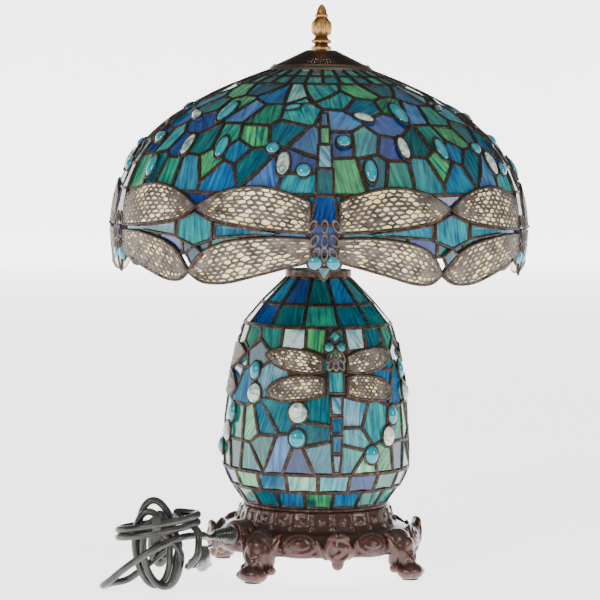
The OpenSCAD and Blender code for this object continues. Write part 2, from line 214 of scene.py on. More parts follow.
def hoop(name, half_width, half_height, wire, matrix, segments=32):
    """An oval ring of round wire, sizes in mm."""
    put_down()
    bpy.ops.mesh.primitive_torus_add(
        major_segments=segments, minor_segments=8,
        major_radius=half_width * MM, minor_radius=wire * MM)
    bpy.ops.object.mode_set(mode="EDIT")
    bpy.ops.mesh.select_all(action="SELECT")
    bpy.ops.transform.resize(value=(1, half_height / half_width, 1))
    piece = settle(name)
    piece.data.transform(matrix)
    return piece


def through(points, count):
    """Evenly numbered points on a smooth line through the given ones."""
    last = len(points) - 1
    found = []
    for k in range(count):
        place = k * last / (count - 1)
        i = min(int(place), last - 1)
        t = place - i
        a, b, c, d = (Vector(points[max(i - 1, 0)]), Vector(points[i]),
                      Vector(points[i + 1]), Vector(points[min(i + 2, last)]))
        found.append(0.5 * (2 * b + (c - a) * t + (2 * a - 5 * b + 4 * c - d) * t * t
                            + (3 * b - a - 3 * c + d) * t ** 3))
    return found


# ---------------------------------------------------------------- the two glass outlines

def cubic(a, b, c, d, t):
    """A point on a cubic curve."""
    return tuple(p * (1 - t) ** 3 + 3 * q * t * (1 - t) ** 2 + 3 * r * t * t * (1 - t) + s * t ** 3
                 for p, q, r, s in zip(a, b, c, d))


DOME_LINE = [cubic((50, 501), (160, 462), (206, 416), (206, 342), k / 24) for k in range(25)]
SHADE_LINE = DOME_LINE + [(205, 328), (203.5, 314), (202, 298)]
POT_LINE = [(30, 296), (47, 279), (61, 265), (74, 248), (79, 229), (84, 205),
            (88.5, 178), (91.5, 151), (93.5, 108), (88, 92), (79, 81), (72, 70)]


def radius_at(line, height):
    """Radius of an outline at a height, in mm."""
    for (r0, z0), (r1, z1) in zip(line, line[1:]):
        if z1 <= height <= z0:
            return r0 + (r1 - r0) * (z0 - height) / (z0 - z1)
    return line[0][0] if height > line[0][1] else line[-1][0]


def tilt_at(line, height):
    """Tilt of an outline's outward normal above the horizontal."""
    return math.atan2(radius_at(line, height - 2) - radius_at(line, height + 2), 4)


def spot(line, turn, height, lift=0.0):
    """A point on an outline: turn in degrees from the front, height and lift in mm."""
    angle, tilt = math.radians(turn), tilt_at(line, height)
    radius = radius_at(line, height) + lift * math.cos(tilt)
    return Vector((radius * math.sin(angle), -radius * math.cos(angle),
                   height + lift * math.sin(tilt))) * MM


def spot_frame(line, turn, height, lift=0.0, roll=0.0):
    """A frame on an outline: X round the lamp, Y up the glass, Z outwards."""
    angle, tilt = math.radians(turn), tilt_at(line, height)
    east = Vector((math.cos(angle), math.sin(angle), 0))
    out = Vector((math.sin(angle) * math.cos(tilt), -math.cos(angle) * math.cos(tilt),
                  math.sin(tilt)))
    up = out.cross(east)
    turned = Matrix((east, up, out)).transposed().to_4x4() @ rolled(roll)
    return Matrix.Translation(spot(line, turn, height, lift)) @ turned


# ---------------------------------------------------------------- shader tools

class Value:
    """A shader value that Python's operators work on: each one adds a Math node."""

    def __init__(self, tree, socket):
        self.tree = tree
        self.socket = socket

    def math(self, operation, *terms, clamp=False):
        node = self.tree.nodes.new("ShaderNodeMath")
        node.operation = operation
        node.use_clamp = clamp
        for place, term in zip(node.inputs, terms):
            plug(self.tree, term, place)
        return Value(self.tree, node.outputs[0])

    def __add__(self, other):
        return self.math("ADD", self, other)

    def __sub__(self, other):
        return self.math("SUBTRACT", self, other)

    def __rsub__(self, other):
        return self.math("SUBTRACT", other, self)

    def __mul__(self, other):
        return self.math("MULTIPLY", self, other)

    def clamped(self):
        return self.math("ADD", self, 0.0, clamp=True)

    __radd__ = __add__
    __rmul__ = __mul__


def plug(tree, value, place):
    """Links a Value to an input, or sets a constant on it."""
    if isinstance(value, Value):
        tree.links.new(value.socket, place)
    elif isinstance(value, (tuple, list)) and place.type == "RGBA" and len(value) == 3:
        place.default_value = (*value, 1.0)
    else:
        place.default_value = value


class Finish:
    """A material under construction, with a Principled shader at its end."""

    def __init__(self, name, **constants):
        self.material = bpy.data.materials.new(name)
        self.material.use_nodes = True
        self.tree = self.material.node_tree
        self.shader = self.tree.nodes["Principled BSDF"]
        for key, value in constants.items():
            self.set(key.replace("_", " "), value)

    def set(self, key, value):
        names = {socket.name.lower(): socket for socket in self.shader.inputs}
        plug(self.tree, value, names[key.lower()])

    def node(self, kind, settings=None, inputs=None, out=0):
        """Adds a node: its settings first, then its inputs; gives one of its outputs."""
        node = self.tree.nodes.new(kind)
        for key, value in (settings or {}).items():
            setattr(node, key, value)
        for key, value in (inputs or {}).items():
            plug(self.tree, value, node.inputs[key])
        return Value(self.tree, node.outputs[out])

    def place(self):
        return self.node("ShaderNodeTexCoord", out=3)

    def uv(self):
        return self.node("ShaderNodeUVMap", {"uv_map": "grain"})

    def mapped(self, vector, scale):
        return self.node("ShaderNodeMapping", {}, {"Vector": vector, "Scale": scale})

    def noise(self, vector, scale, detail=3.0, roughness=0.5, distortion=0.0):
        return self.node("ShaderNodeTexNoise", {}, {
            "Vector": vector, "Scale": scale, "Detail": detail,
            "Roughness": roughness, "Distortion": distortion})

    def grey(self, factor, low, high):
        """A value stretched from low..high to 0..1."""
        return self.node("ShaderNodeMapRange", {"clamp": True}, {
            "Value": factor, "From Min": low, "From Max": high})

    def mix(self, factor, a, b, blend="MIX"):
        return self.node("ShaderNodeMix", {"data_type": "RGBA", "blend_type": blend},
                         {0: factor, 6: a, 7: b}, out=2)

    def attribute(self, name, out=0):
        return self.node("ShaderNodeAttribute", {"attribute_name": name}, out=out)

    def bump(self, height, distance, strength=1.0):
        self.set("Normal", self.node("ShaderNodeBump", {}, {
            "Height": height, "Distance": distance, "Strength": strength}))


# What a piece moves with, by the start of its name; the rest stay on the root.
RIDERS = (("shade", "shade"), ("pierced_cap", "shade"), ("cap_band", "shade"),
          ("turned_finial", "finial"), ("switch_rocker", "rocker"))


def paint(piece, finish):
    """Gives a piece its only material and lets it ride on its body."""
    piece.data.materials.clear()
    piece.data.materials.append(finish)
    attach(piece, next((body for start, body in RIDERS if piece.name.startswith(start)), "root"))
    return piece


def done(piece, angle, look, slot, *nodes):
    """Smooths and paints a piece, and hides the CAD nodes that it stands in for."""
    paint(smooth(piece, angle), finish(look))
    if nodes:
        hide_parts(*nodes)
    return piece


# ---------------------------------------------------------------- sizes and colours

class LampSizes(bpy.types.PropertyGroup):
    """Sizes that a user would change."""
    came_width: FloatProperty(name="Came width", description="Width of the lead between two tiles",
                              default=0.0042, unit="LENGTH")
    came_height: FloatProperty(name="Came height", description="How far the lead stands off the glass",
                               default=0.0014, unit="LENGTH")
    glass_thickness: FloatProperty(name="Glass thickness", description="Thickness of a tile",
                                   default=0.0028, unit="LENGTH")
    net_wire: FloatProperty(name="Net wire", description="Half the metal left between two holes of a wing",
                            default=0.00072, unit="LENGTH")
    shade_turn: FloatProperty(name="Shade turn", description="Turn of the shade on its rod",
                              default=math.radians(-11), subtype="ANGLE")
    shade_flies: IntProperty(name="Shade dragonflies", description="Dragonflies round the shade",
                             default=5)
    pot_flies: IntProperty(name="Pot dragonflies", description="Dragonflies round the pot", default=3)
    ring_bosses: IntProperty(name="Ring bosses", description="Bosses round the base's ring", default=24)
    cord_diameter: FloatProperty(name="Cord diameter", description="Thickness of the mains cord",
                                 default=0.007, unit="LENGTH")
    cord_length: FloatProperty(name="Cord length", description="Length of the mains cord",
                               default=1.42, unit="LENGTH")


class LampColours(bpy.types.PropertyGroup):
    """Colours that a user would change."""
    lead: FloatVectorProperty(name="Lead", description="Patina on the came", subtype="COLOR",
                              default=(0.042, 0.025, 0.018))
    bronze: FloatVectorProperty(name="Base bronze", description="Paint of the cast base",
                                subtype="COLOR", default=(0.060, 0.020, 0.014))
    copper: FloatVectorProperty(name="Worn copper", description="Worn edges of the cast base",
                                subtype="COLOR", default=(0.36, 0.085, 0.045))
    cream: FloatVectorProperty(name="Wing glass", description="Glass of the wings", subtype="COLOR",
                               default=(0.92, 0.72, 0.30))
    turquoise: FloatVectorProperty(name="Turquoise", description="Coloured cabochons",
                                   subtype="COLOR", default=(0.0, 0.30, 0.36))
    cord: FloatVectorProperty(name="Cord", description="Colour of the cord", subtype="COLOR",
                              default=(0.013, 0.012, 0.009))


GLASS_COLOURS = {
    "navy": ((0.001, 0.010, 0.085), (0.006, 0.055, 0.24)),
    "blue": ((0.002, 0.032, 0.14), (0.012, 0.16, 0.28)),
    "sky": ((0.003, 0.075, 0.14), (0.035, 0.25, 0.27)),
    "lavender": ((0.008, 0.055, 0.19), (0.07, 0.21, 0.34)),
    "teal": ((0.001, 0.035, 0.075), (0.003, 0.14, 0.13)),
    "aqua": ((0.002, 0.085, 0.16), (0.03, 0.34, 0.30)),
    "sea": ((0.001, 0.060, 0.085), (0.02, 0.30, 0.17)),
    "green": ((0.001, 0.070, 0.070), (0.07, 0.40, 0.12)),
    "mint": ((0.008, 0.13, 0.13), (0.22, 0.56, 0.34)),
    "mist": ((0.014, 0.12, 0.17), (0.20, 0.42, 0.40)),
}


# ---------------------------------------------------------------- finishes

def art_glass():
    """Streaky opalescent glass: each tile carries two colours and its own grain, and shines with a painted
    glow in its own colour.
    """
    f = Finish("streaky_art_glass", coat_weight=0.35, coat_roughness=0.03, ior=1.5)
    grain = f.mapped(f.uv(), (330.0, 26.0, 1.0))
    streak = f.noise(grain, 1.0, 4.0, 0.55, 0.6)
    fine = f.noise(f.mapped(f.uv(), (1100.0, 70.0, 1.0)), 1.0, 3.0, 0.6, 0.2)
    cloud = f.noise(f.uv(), 38.0, 3.0, 0.5, 1.2)
    blend = (f.grey(streak, 0.36, 0.64) * 0.9 + (fine - 0.5) * 0.5 + (cloud - 0.5) * 0.9).clamped()
    base = f.mix(blend, f.attribute("glass_dark"), f.attribute("glass_light"))
    wisp = f.grey(streak * 0.5 + fine * 0.5, 0.60, 0.78)
    base = f.mix(wisp * 0.16, base, (0.62, 0.78, 0.70))
    f.set("Base Color", base)
    # painted glow: the glass shines with its own colour, standing in for light passing through it
    f.set("Emission Color", base)
    f.set("Emission Strength", 0.38)
    f.set("Roughness", 0.10 + fine * 0.10)
    f.bump(cloud * 0.7 + streak * 0.3, 0.0006, 0.6)
    return f.material


def lead_came():
    """Soldered lead under a dark patina, with bright rubbed solder."""
    colours = bpy.context.scene.lamp_colours
    f = Finish("patinated_came", metallic=0.75)
    tone = f.noise(f.place(), 160.0, 4.0, 0.6)
    spots = f.noise(f.place(), 620.0, 3.0, 0.6)
    rubbed = f.grey(tone * 0.6 + spots * 0.4, 0.50, 0.66)
    f.set("Base Color", f.mix(rubbed * 0.6, tuple(colours.lead), (0.19, 0.125, 0.09)))
    f.set("Roughness", 0.52 - rubbed * 0.24)
    f.bump(spots * 0.5 + tone * 0.5, 0.0005, 0.8)
    return f.material


def wing_net():
    """Etched metal of the wings: dark, dull, with a grey bloom."""
    f = Finish("etched_wing_metal", metallic=0.65)
    bloom = f.noise(f.place(), 90.0, 4.0, 0.6)
    f.set("Base Color", f.mix(f.grey(bloom, 0.35, 0.7), (0.050, 0.038, 0.030), (0.19, 0.16, 0.135)))
    f.set("Roughness", 0.36 + bloom * 0.3)
    f.bump(bloom, 0.0003, 0.5)
    return f.material


def wing_glass():
    """Ivory glass with faint grain and a painted glow in its own colour."""
    colours = bpy.context.scene.lamp_colours
    f = Finish("ivory_wing_glass", coat_weight=0.5, coat_roughness=0.08)
    cloud = f.noise(f.place(), 55.0, 3.0, 0.5, 0.8)
    base = f.mix(f.grey(cloud, 0.35, 0.7), tuple(colours.cream), (0.95, 0.88, 0.64))
    f.set("Base Color", base)
    # painted glow: the ivory glass shines as if lit from behind
    f.set("Emission Color", base)
    f.set("Emission Strength", 0.8)
    f.set("Roughness", 0.16 + cloud * 0.12)
    f.bump(cloud, 0.0003, 0.4)
    return f.material


def jewel(name, deep, bright, painted_glow):
    """Polished cabochon glass, swirled between a deep and a bright colour, with a painted glow."""
    f = Finish(name, roughness=0.05, coat_weight=0.6, coat_roughness=0.02, ior=1.5,
               transmission_weight=0.25)
    swirl = f.noise(f.place(), 75.0, 2.0, 0.5, 1.5)
    base = f.mix(f.grey(swirl, 0.40, 0.62), deep, bright)
    f.set("Base Color", base)
    # painted glow: the cabochon shines with its own colour, as if lit through
    f.set("Emission Color", base)
    f.set("Emission Strength", painted_glow)
    f.bump(swirl, 0.0003, 0.3)
    return f.material


def cast_bronze():
    """Dark red-brown paint over a casting, worn to copper along the edges."""
    colours = bpy.context.scene.lamp_colours
    f = Finish("worn_cast_bronze", coat_weight=0.5, coat_roughness=0.16)
    edge = f.node("ShaderNodeNewGeometry", out=7)
    worn = f.noise(f.place(), 70.0, 4.0, 0.6, 0.4)
    grit = f.noise(f.place(), 420.0, 3.0, 0.6)
    rub = (f.grey(edge, 0.515, 0.60) * (0.35 + worn * 1.1) + f.grey(worn, 0.60, 0.85) * 0.25).clamped()
    dark = f.grey(edge, 0.50, 0.43)
    base = f.mix(rub * 0.85, tuple(colours.bronze), tuple(colours.copper))
    base = f.mix(dark * 0.8, base, (0.012, 0.007, 0.006))
    f.set("Base Color", base)
    f.set("Metallic", 0.30 + rub * 0.35)
    f.set("Roughness", 0.30 + grit * 0.18)
    f.bump(worn * 0.6 + grit * 0.4, 0.0005, 0.6)
    return f.material


def old_metal(name, hollow, face, worn, metallic=0.9, scale=90.0):
    """Patinated metal: dark in the hollows, bright where it is rubbed."""
    f = Finish(name, metallic=metallic)
    edge = f.node("ShaderNodeNewGeometry", out=7)
    tone = f.noise(f.place(), scale, 4.0, 0.6)
    fine = f.noise(f.place(), scale * 6, 3.0, 0.6)
    base = f.mix(f.grey(edge, 0.44, 0.51), hollow, face)
    base = f.mix((f.grey(edge, 0.52, 0.62) * 0.8 + f.grey(tone, 0.55, 0.8) * 0.4).clamped(), base, worn)
    f.set("Base Color", base)
    f.set("Roughness", 0.28 + tone * 0.22)
    f.bump(tone * 0.5 + fine * 0.5, 0.0003, 0.5)
    return f.material


def moulded(name, colour, bright, roughness, coat=0.0, scale=260.0, depth=0.00012):
    """Moulded plastic or rubber with a fine grain and faint scuffs."""
    f = Finish(name, coat_weight=coat, coat_roughness=0.12)
    grain = f.noise(f.place(), scale * 5, 2.0, 0.6)
    scuff = f.noise(f.place(), scale * 0.2, 4.0, 0.6, 0.5)
    f.set("Base Color", f.mix(f.grey(scuff, 0.45, 0.8), colour, bright))
    f.set("Roughness", roughness + scuff * 0.14)
    f.bump(grain * 0.6 + scuff * 0.4, depth, 0.7)
    return f.material


def plated(name, colour, roughness=0.26, scale=120.0):
    """Plated or drawn metal with brushed streaks round the axis."""
    f = Finish(name, metallic=1.0)
    brushed = f.noise(f.mapped(f.place(), (1.0, 1.0, 14.0)), scale, 4.0, 0.6)
    cloud = f.noise(f.place(), scale * 0.3, 3.0, 0.5)
    f.set("Base Color", f.mix(f.grey(cloud, 0.35, 0.75), colour, tuple(c * 0.62 for c in colour)))
    f.set("Roughness", roughness + brushed * 0.2)
    f.bump(brushed, 0.0001, 0.5)
    return f.material


def opal_bulb():
    """Opal bulb glass."""
    f = Finish("opal_bulb", coat_weight=0.6, coat_roughness=0.05, roughness=0.35)
    cloud = f.noise(f.place(), 30.0, 2.0, 0.5)
    base = f.mix(cloud * 0.5, (0.95, 0.93, 0.86), (0.86, 0.85, 0.80))
    f.set("Base Color", base)
    f.set("Emission Color", base)
    f.set("Emission Strength", 0.15)
    f.bump(cloud, 0.0001, 0.3)
    return f.material


def white_floor():
    """Plain white paper."""
    f = Finish("white_paper", roughness=0.9)
    cloud = f.noise(f.place(), 3.0, 2.0, 0.5)
    base = f.mix(cloud * 0.3, (0.95, 0.95, 0.95), (0.93, 0.93, 0.93))
    f.set("Base Color", base)
    f.set("Emission Color", base)
    f.set("Emission Strength", 2.8)
    return f.material


FINISHES = {}


def finish(name):
    """A finish by name, made when it is first asked for."""
    if name not in FINISHES:
        colours = bpy.context.scene.lamp_colours
        makers = {
            "glass": art_glass,
            "lead": lead_came,
            "net": wing_net,
            "ivory": wing_glass,
            "turquoise": lambda: jewel("turquoise_cabochon", tuple(colours.turquoise),
                                       (0.0, 0.25, 0.32), 0.16),
            "deep": lambda: jewel("deep_teal_cabochon", (0.0, 0.12, 0.15), (0.01, 0.26, 0.30), 0.03),
            "clear": lambda: jewel("clear_cabochon", (0.12, 0.24, 0.21), (0.70, 0.80, 0.68), 0.20),
            "bronze": cast_bronze,
            "cap": lambda: old_metal("dark_cap_bronze", (0.012, 0.010, 0.008), (0.055, 0.038, 0.028),
                                     (0.20, 0.14, 0.09)),
            "finial": lambda: old_metal("antique_brass", (0.05, 0.022, 0.008), (0.38, 0.19, 0.06),
                                        (0.78, 0.52, 0.24), 0.95, 140.0),
            "brass": lambda: plated("drawn_brass", (0.72, 0.50, 0.20)),
            "steel": lambda: plated("zinc_plate", (0.66, 0.66, 0.68)),
            "solder": lambda: plated("tinned_solder", (0.20, 0.17, 0.15), 0.34),
            "bakelite": lambda: moulded("black_bakelite", (0.012, 0.011, 0.010),
                                        (0.035, 0.032, 0.03), 0.22, 0.4),
            "cord": lambda: moulded("cord_sheath", tuple(colours.cord), (0.075, 0.068, 0.052), 0.30, 0.35),
            "plug": lambda: moulded("plug_moulding", (0.06, 0.058, 0.048), (0.15, 0.145, 0.12), 0.28, 0.5),
            "switch": lambda: moulded("switch_moulding", (0.02, 0.02, 0.02),
                                      (0.06, 0.06, 0.055), 0.25, 0.4),
            "pad": lambda: moulded("rubber_pad", (0.015, 0.015, 0.015), (0.05, 0.05, 0.05), 0.7),
            "tie": lambda: moulded("tie_strip", (0.022, 0.022, 0.02), (0.07, 0.07, 0.065), 0.35, 0.2),
            "bulb": opal_bulb,
            "floor": white_floor,
        }
        FINISHES[name] = makers[name]()
    return FINISHES[name]


# ---------------------------------------------------------------- leaded glass

RAISED_THICKNESS = 0.0022       # of the tiles soldered on top, in metres
WING_GLASS_THICKNESS = 0.0016
NET_THICKNESS = 0.0007
CELL_REACH = 62.0               # a tile never reaches further than this from its seed, in mm
SEED_REACH = 0.13               # seeds further apart than this never meet, in metres
PROBE = 0.05                    # step for the slope of a gap, in degrees and mm


def cell_outline(line, seed, others, low, high):
    """The glass that lies nearer to one seed than to the others, as (turn, height) corners."""
    turn, height = seed[0], seed[1]
    wide = min(45.0, math.degrees(CELL_REACH / radius_at(line, height)))
    bottom, top = max(low, height - CELL_REACH), min(high, height + CELL_REACH)
    outline = [(corner, None) for corner in fine_outline(
        [(turn - wide, bottom), (turn + wide, bottom), (turn + wide, top), (turn - wide, top)], 6)]
    here = spot(line, turn, height)
    for there in (spot(line, *other) for other in others):
        if not MM < (there - here).length < SEED_REACH:
            continue
        kept = []
        for (a, side), (b, _) in zip(outline, outline[1:] + outline[:1]):
            inside, next_inside = (gap(line, p, here, there) <= 0 for p in (a, b))
            if inside:
                kept.append((a, side))
            if inside != next_inside:
                near, far = (a, b) if inside else (b, a)
                for _ in range(12):
                    between = ((near[0] + far[0]) / 2, (near[1] + far[1]) / 2)
                    if gap(line, between, here, there) <= 0:
                        near = between
                    else:
                        far = between
                kept.append((true_corner(line, near, here, side, there), there if inside else side))
        outline = kept
    return [corner for corner, _ in outline]


def gap(line, place, here, there):
    """How far a point on the glass is past the middle plane between two seeds, in metres."""
    return (spot(line, *place) - (here + there) / 2).dot((there - here).normalized())


def true_corner(line, place, here, first, second):
    """Moves a rough corner onto the middle planes towards both neighbours."""
    if first is None:
        return place
    turn, height = place
    for _ in range(5):
        a, b = (gap(line, (turn, height), here, other) for other in (first, second))
        a_turn, b_turn = ((gap(line, (turn + PROBE, height), here, other) - now) / PROBE
                          for other, now in ((first, a), (second, b)))
        a_up, b_up = ((gap(line, (turn, height + PROBE), here, other) - now) / PROBE
                      for other, now in ((first, a), (second, b)))
        size = a_turn * b_up - a_up * b_turn
        if abs(size) < 1e-12:
            return place
        turn -= (a * b_up - a_up * b) / size
        height -= (a_turn * b - a * b_turn) / size
    return (turn, height) if math.dist((turn, height), place) < 9 else place


def lead_loop(points, normals, half, rise, name):
    """A rounded bead of lead along a closed line, sizes in mm; points and normals are vectors."""
    section = ((-1.0, -0.9), (-0.80, 0.62), (0.0, 1.0), (0.80, 0.62), (1.0, -0.9))
    put_down()
    bpy.ops.mesh.primitive_torus_add(major_segments=len(points), minor_segments=len(section),
                                     major_radius=0.02, minor_radius=0.002)
    loop = bpy.context.active_object
    loop.name = name
    count = len(points)
    for i, (point, normal) in enumerate(zip(points, normals)):
        before = (point - points[i - 1]).normalized()
        after = (points[(i + 1) % count] - point).normalized()
        across = normal.cross(before + after).normalized()
        mitre = min(1.6, 1.0 / max(0.4, across.dot(normal.cross(after).normalized())))
        for k, (side, up) in enumerate(section):
            place = point + across * side * half * MM * mitre + normal * up * rise * MM
            loop.data.vertices[i * len(section) + k].co = place
    return loop


def beaded(pieces, name):
    """Joins beads of lead and turns them right side out."""
    return smooth(righted(joined(pieces, name)), 60)


def plain_corners(points):
    """Leaves out the points of a closed line that lie almost straight between their neighbours."""
    kept = []
    count = len(points)
    for i, point in enumerate(points):
        before = point - (kept[-1] if kept else points[i - 1])
        after = points[(i + 1) % count] - point
        if before.length < 0.0006:
            continue
        if before.angle(after, 0.0) > math.radians(6) or before.length > 0.014:
            kept.append(point)
    return kept if len(kept) > 2 else points


def leaded(cells, colours, name, count, turn, spread_seed):
    """Turns one sector's cells into flat tiles and rounded came, and repeats them round the lamp."""
    sizes = bpy.context.scene.lamp_sizes
    half, rise = sizes.came_width / 2 / MM, sizes.came_height / MM
    loops = []
    for face in cells.data.polygons:
        corners = plain_corners([cells.data.vertices[k].co.copy() for k in face.vertices])
        loops.append(lead_loop(corners, [face.normal.copy()] * len(corners), half, rise, name))
    lead = ring_of(beaded(loops, name + "_came"), count, name + "_came", turn)
    paint(lead, finish("lead"))
    tiles = ring_of(cells, count, name + "_tiles", turn)
    tint(tiles, colours, spread_seed)
    modified(tiles, "SOLIDIFY", thickness=sizes.glass_thickness, offset=-1.0)
    paint(tiles, finish("glass"))


def tint(tiles, colours, spread_seed):
    """Gives each tile its two colours and a grain of its own, and lays it flat."""
    dice = random.Random(spread_seed)
    mesh = tiles.data
    dark = mesh.attributes.new("glass_dark", "FLOAT_COLOR", "FACE")
    light = mesh.attributes.new("glass_light", "FLOAT_COLOR", "FACE")
    uv = mesh.uv_layers.new(name="grain")
    for face in mesh.polygons:
        low, high = GLASS_COLOURS[colours[face.index % len(colours)]]
        gain = dice.uniform(0.62, 1.10)
        swing = dice.uniform(-0.10, 0.10)
        for attribute, colour in ((dark, low), (light, high)):
            attribute.data[face.index].color = (
                colour[0] * gain, colour[1] * gain * (1 - swing), colour[2] * gain * (1 + swing), 1.0)
        centre = face.center.copy()
        normal = face.normal.copy()
        lean = Vector((dice.uniform(-1, 1), dice.uniform(-1, 1), dice.uniform(-1, 1))) * 0.020
        normal = (normal + lean).normalized()
        east = Vector((0, 0, 1)).cross(normal).normalized()
        angle = dice.gauss(0, 0.3)
        side = Matrix.Rotation(angle, 3, normal) @ east
        up = normal.cross(side)
        shift = (dice.uniform(0, 9), dice.uniform(0, 9))
        for loop in face.loop_indices:
            vertex = mesh.vertices[mesh.loops[loop].vertex_index]
            vertex.co -= normal * (vertex.co - centre).dot(normal) * 0.9
            reach = vertex.co - centre
            uv.data[loop].uv = (reach.dot(side) + shift[0], reach.dot(up) + shift[1])


# Seeds of one sector's tiles: turn from the dragonfly, height, glass.
SHADE_SEEDS = [
    (-24, 476, "blue"), (-13, 477, "mist"), (-2, 480, "sea"), (7, 472, "aqua"), (21, 480, "green"),
    (34, 483, "teal"), (16, 466, "teal"), (-33, 462, "lavender"), (-23, 457, "sea"), (-10, 458, "aqua"),
    (5, 452, "blue"), (23, 448, "navy"), (32, 466, "green"), (-24, 438, "green"), (-13, 443, "teal"),
    (-33, 434, "sea"), (-5, 432, "blue"), (13, 432, "aqua"), (5, 433, "navy"), (31, 432, "teal"),
    (21, 427, "navy"), (-31, 402, "blue"), (-22, 412, "teal"), (-17, 400, "lavender"), (-8, 394, "aqua"),
    (-8, 414, "navy"), (6, 402, "green"), (15, 408, "teal"), (21, 404, "sea"), (30, 404, "sky"),
    (37, 412, "green"), (-28, 424, "blue")]

# Seeds of one third of the pot's tiles.
POT_SEEDS = (
    (-50, 241, "sea"), (-29, 240, "mist"), (-13, 240, "green"), (1, 238, "teal"), (16, 240, "mist"),
    (33, 240, "teal"), (52, 238, "sea"), (-43, 197, "mist"), (38, 198, "blue"), (-38, 166, "sky"),
    (-47, 157, "sky"), (-58, 152, "green"), (49, 152, "sea"), (52, 190, "blue"), (-12, 168, "teal"),
    (12, 163, "mist"), (25, 156, "aqua"), (-36, 124, "lavender"), (-24, 117, "navy"), (-11, 126, "sky"),
    (9, 124, "aqua"), (20, 112, "mint"), (34, 117, "green"), (49, 120, "teal"), (-47, 130, "sea"),
    (-59, 118, "sea"), (-14, 146, "teal"), (12, 142, "aqua"), (-60, 225, "teal"), (40, 218, "teal"),
    (-20, 196, "teal"), (18, 196, "teal"), (-20, 214, "teal"), (18, 214, "teal"))


def sector_cells(line, seeds, count, low, high, name):
    """All the cells of one sector, each cut off by its neighbours."""
    step = 360 / count
    around = [(turn + step * k, height) for turn, height, _ in seeds for k in (-1, 0, 1)]
    outlines = [cell_outline(line, seed, around, low, high) for seed in seeds]
    return joined([flat_cell(line, fine_outline(outline, 2), 0) for outline in outlines], name)


def row_cells(line, rows, name, first=0.0, last=360.0):
    """Plain rows of four-sided cells: (low, high, columns, offset in degrees)."""
    cells = []
    for low, high, columns, offset in rows:
        step = (last - first) / columns
        for k in range(columns):
            a, b = first + offset + step * k, first + offset + step * (k + 1)
            outline = [(a, low), (b, low), (b, high), (a, high)]
            cells.append(flat_cell(line, fine_outline(outline, 2), 0))
    return joined(cells, name)


def flat_cell(line, outline, lift):
    """One face on the glass from an outline of (turn, height) points."""
    put_down()
    bpy.ops.mesh.primitive_circle_add(vertices=len(outline), radius=0.01, fill_type="NGON")
    cell = bpy.context.active_object
    for vertex, (turn, height) in zip(cell.data.vertices, outline):
        vertex.co = spot(line, turn, height, lift)
    righted(cell)
    centre = sum((v.co for v in cell.data.vertices), Vector()) / len(outline)
    if cell.data.polygons[0].normal.dot(Vector((centre.x, centre.y, 0))) < 0:
        cell.data.flip_normals()
    return cell


def fine_outline(corners, parts=4):
    """An outline with its straight sides divided, so that it can follow the glass."""
    points = []
    for (a, b), (c, d) in zip(corners, corners[1:] + corners[:1]):
        points += [(a + (c - a) * k / parts, b + (d - b) * k / parts) for k in range(parts)]
    return points


def bead_on(line, outline, lift, half, rise, name):
    """A bead of lead along a closed outline of (turn, height) points on the glass."""
    points = [spot(line, *place, lift) for place in outline]
    normals = [spot_frame(line, *place).to_3x3() @ Vector((0, 0, 1)) for place in outline]
    return lead_loop(points, normals, half, rise, name)


def raised(line, outlines, glasses, lift, count, turn, name, seed, half=1.5, rise=1.3):
    """Small tiles soldered on top of the others, each in a bead of lead of its own."""
    cells = [flat_cell(line, outline, lift + 0.3) for outline in outlines]
    loops = [bead_on(line, outline, lift, half, rise, name) for outline in outlines]
    lead = ring_of(beaded(loops, name + "_lead"), count, name + "_lead", turn)
    paint(lead, finish("lead"))
    tiles = ring_of(joined(cells, name + "_glass"), count, name + "_glass", turn)
    tint(tiles, glasses, seed)
    modified(tiles, "SOLIDIFY", thickness=RAISED_THICKNESS, offset=-1.0)
    paint(tiles, finish("glass"))


# ---------------------------------------------------------------- dragonflies

def net_marks(line, lower, upper, rows, columns, lift, dice):
    """Corners of a wing's net between two edge lines, by border and half column, each a little astray."""
    edge_low, edge_high = through(lower, 81), through(upper, 81)

    def at(u, v):
        place = min(max(u, 0.0), 1.0) * 80
        i = min(int(place), 79)
        low = edge_low[i].lerp(edge_low[i + 1], place - i)
        high = edge_high[i].lerp(edge_high[i + 1], place - i)
        return spot(line, *low.lerp(high, v), lift)

    halves = 2 * columns
    marks = []
    for border in range(rows + 1):
        marks.append([])
        for half in range(halves + 1):
            across = half + (dice.uniform(-0.34, 0.34) if 0 < half < halves else 0)
            along = border
            if 0 < border < rows:
                along += (0.15 if (half - border) % 2 == 0 else -0.15) + dice.uniform(-0.13, 0.13)
            marks[-1].append(at(across / halves, along / rows))
    return marks


def net_cells(marks, name):
    """A wing's net as six-sided cells: rows of quads with every second upright dissolved."""
    halves = len(marks[0]) - 1
    strips = []
    for row in range(len(marks) - 1):
        put_down()
        bpy.ops.mesh.primitive_grid_add(x_subdivisions=halves, y_subdivisions=1, size=2)
        strip = bpy.context.active_object
        for vertex in strip.data.vertices:
            half = round((vertex.co.x + 1) / 2 * halves)
            vertex.co = marks[row + (vertex.co.y > 0)][half]
        for edge in strip.data.edges:
            low, high = (index % (halves + 1) for index in edge.vertices)
            edge.use_seam = low == high and 0 < low < halves and (low - row) % 2 == 1
        strips.append(strip)
    net = joined(strips, name)
    for part in (*net.data.vertices, *net.data.polygons):
        part.select = False
    for edge in net.data.edges:
        edge.select = edge.use_seam
    pick_up(net)
    bpy.context.tool_settings.mesh_select_mode = (False, True, False)
    bpy.ops.object.mode_set(mode="EDIT")
    bpy.ops.mesh.dissolve_edges(use_verts=False)
    bpy.ops.object.mode_set(mode="OBJECT")
    return righted(net)


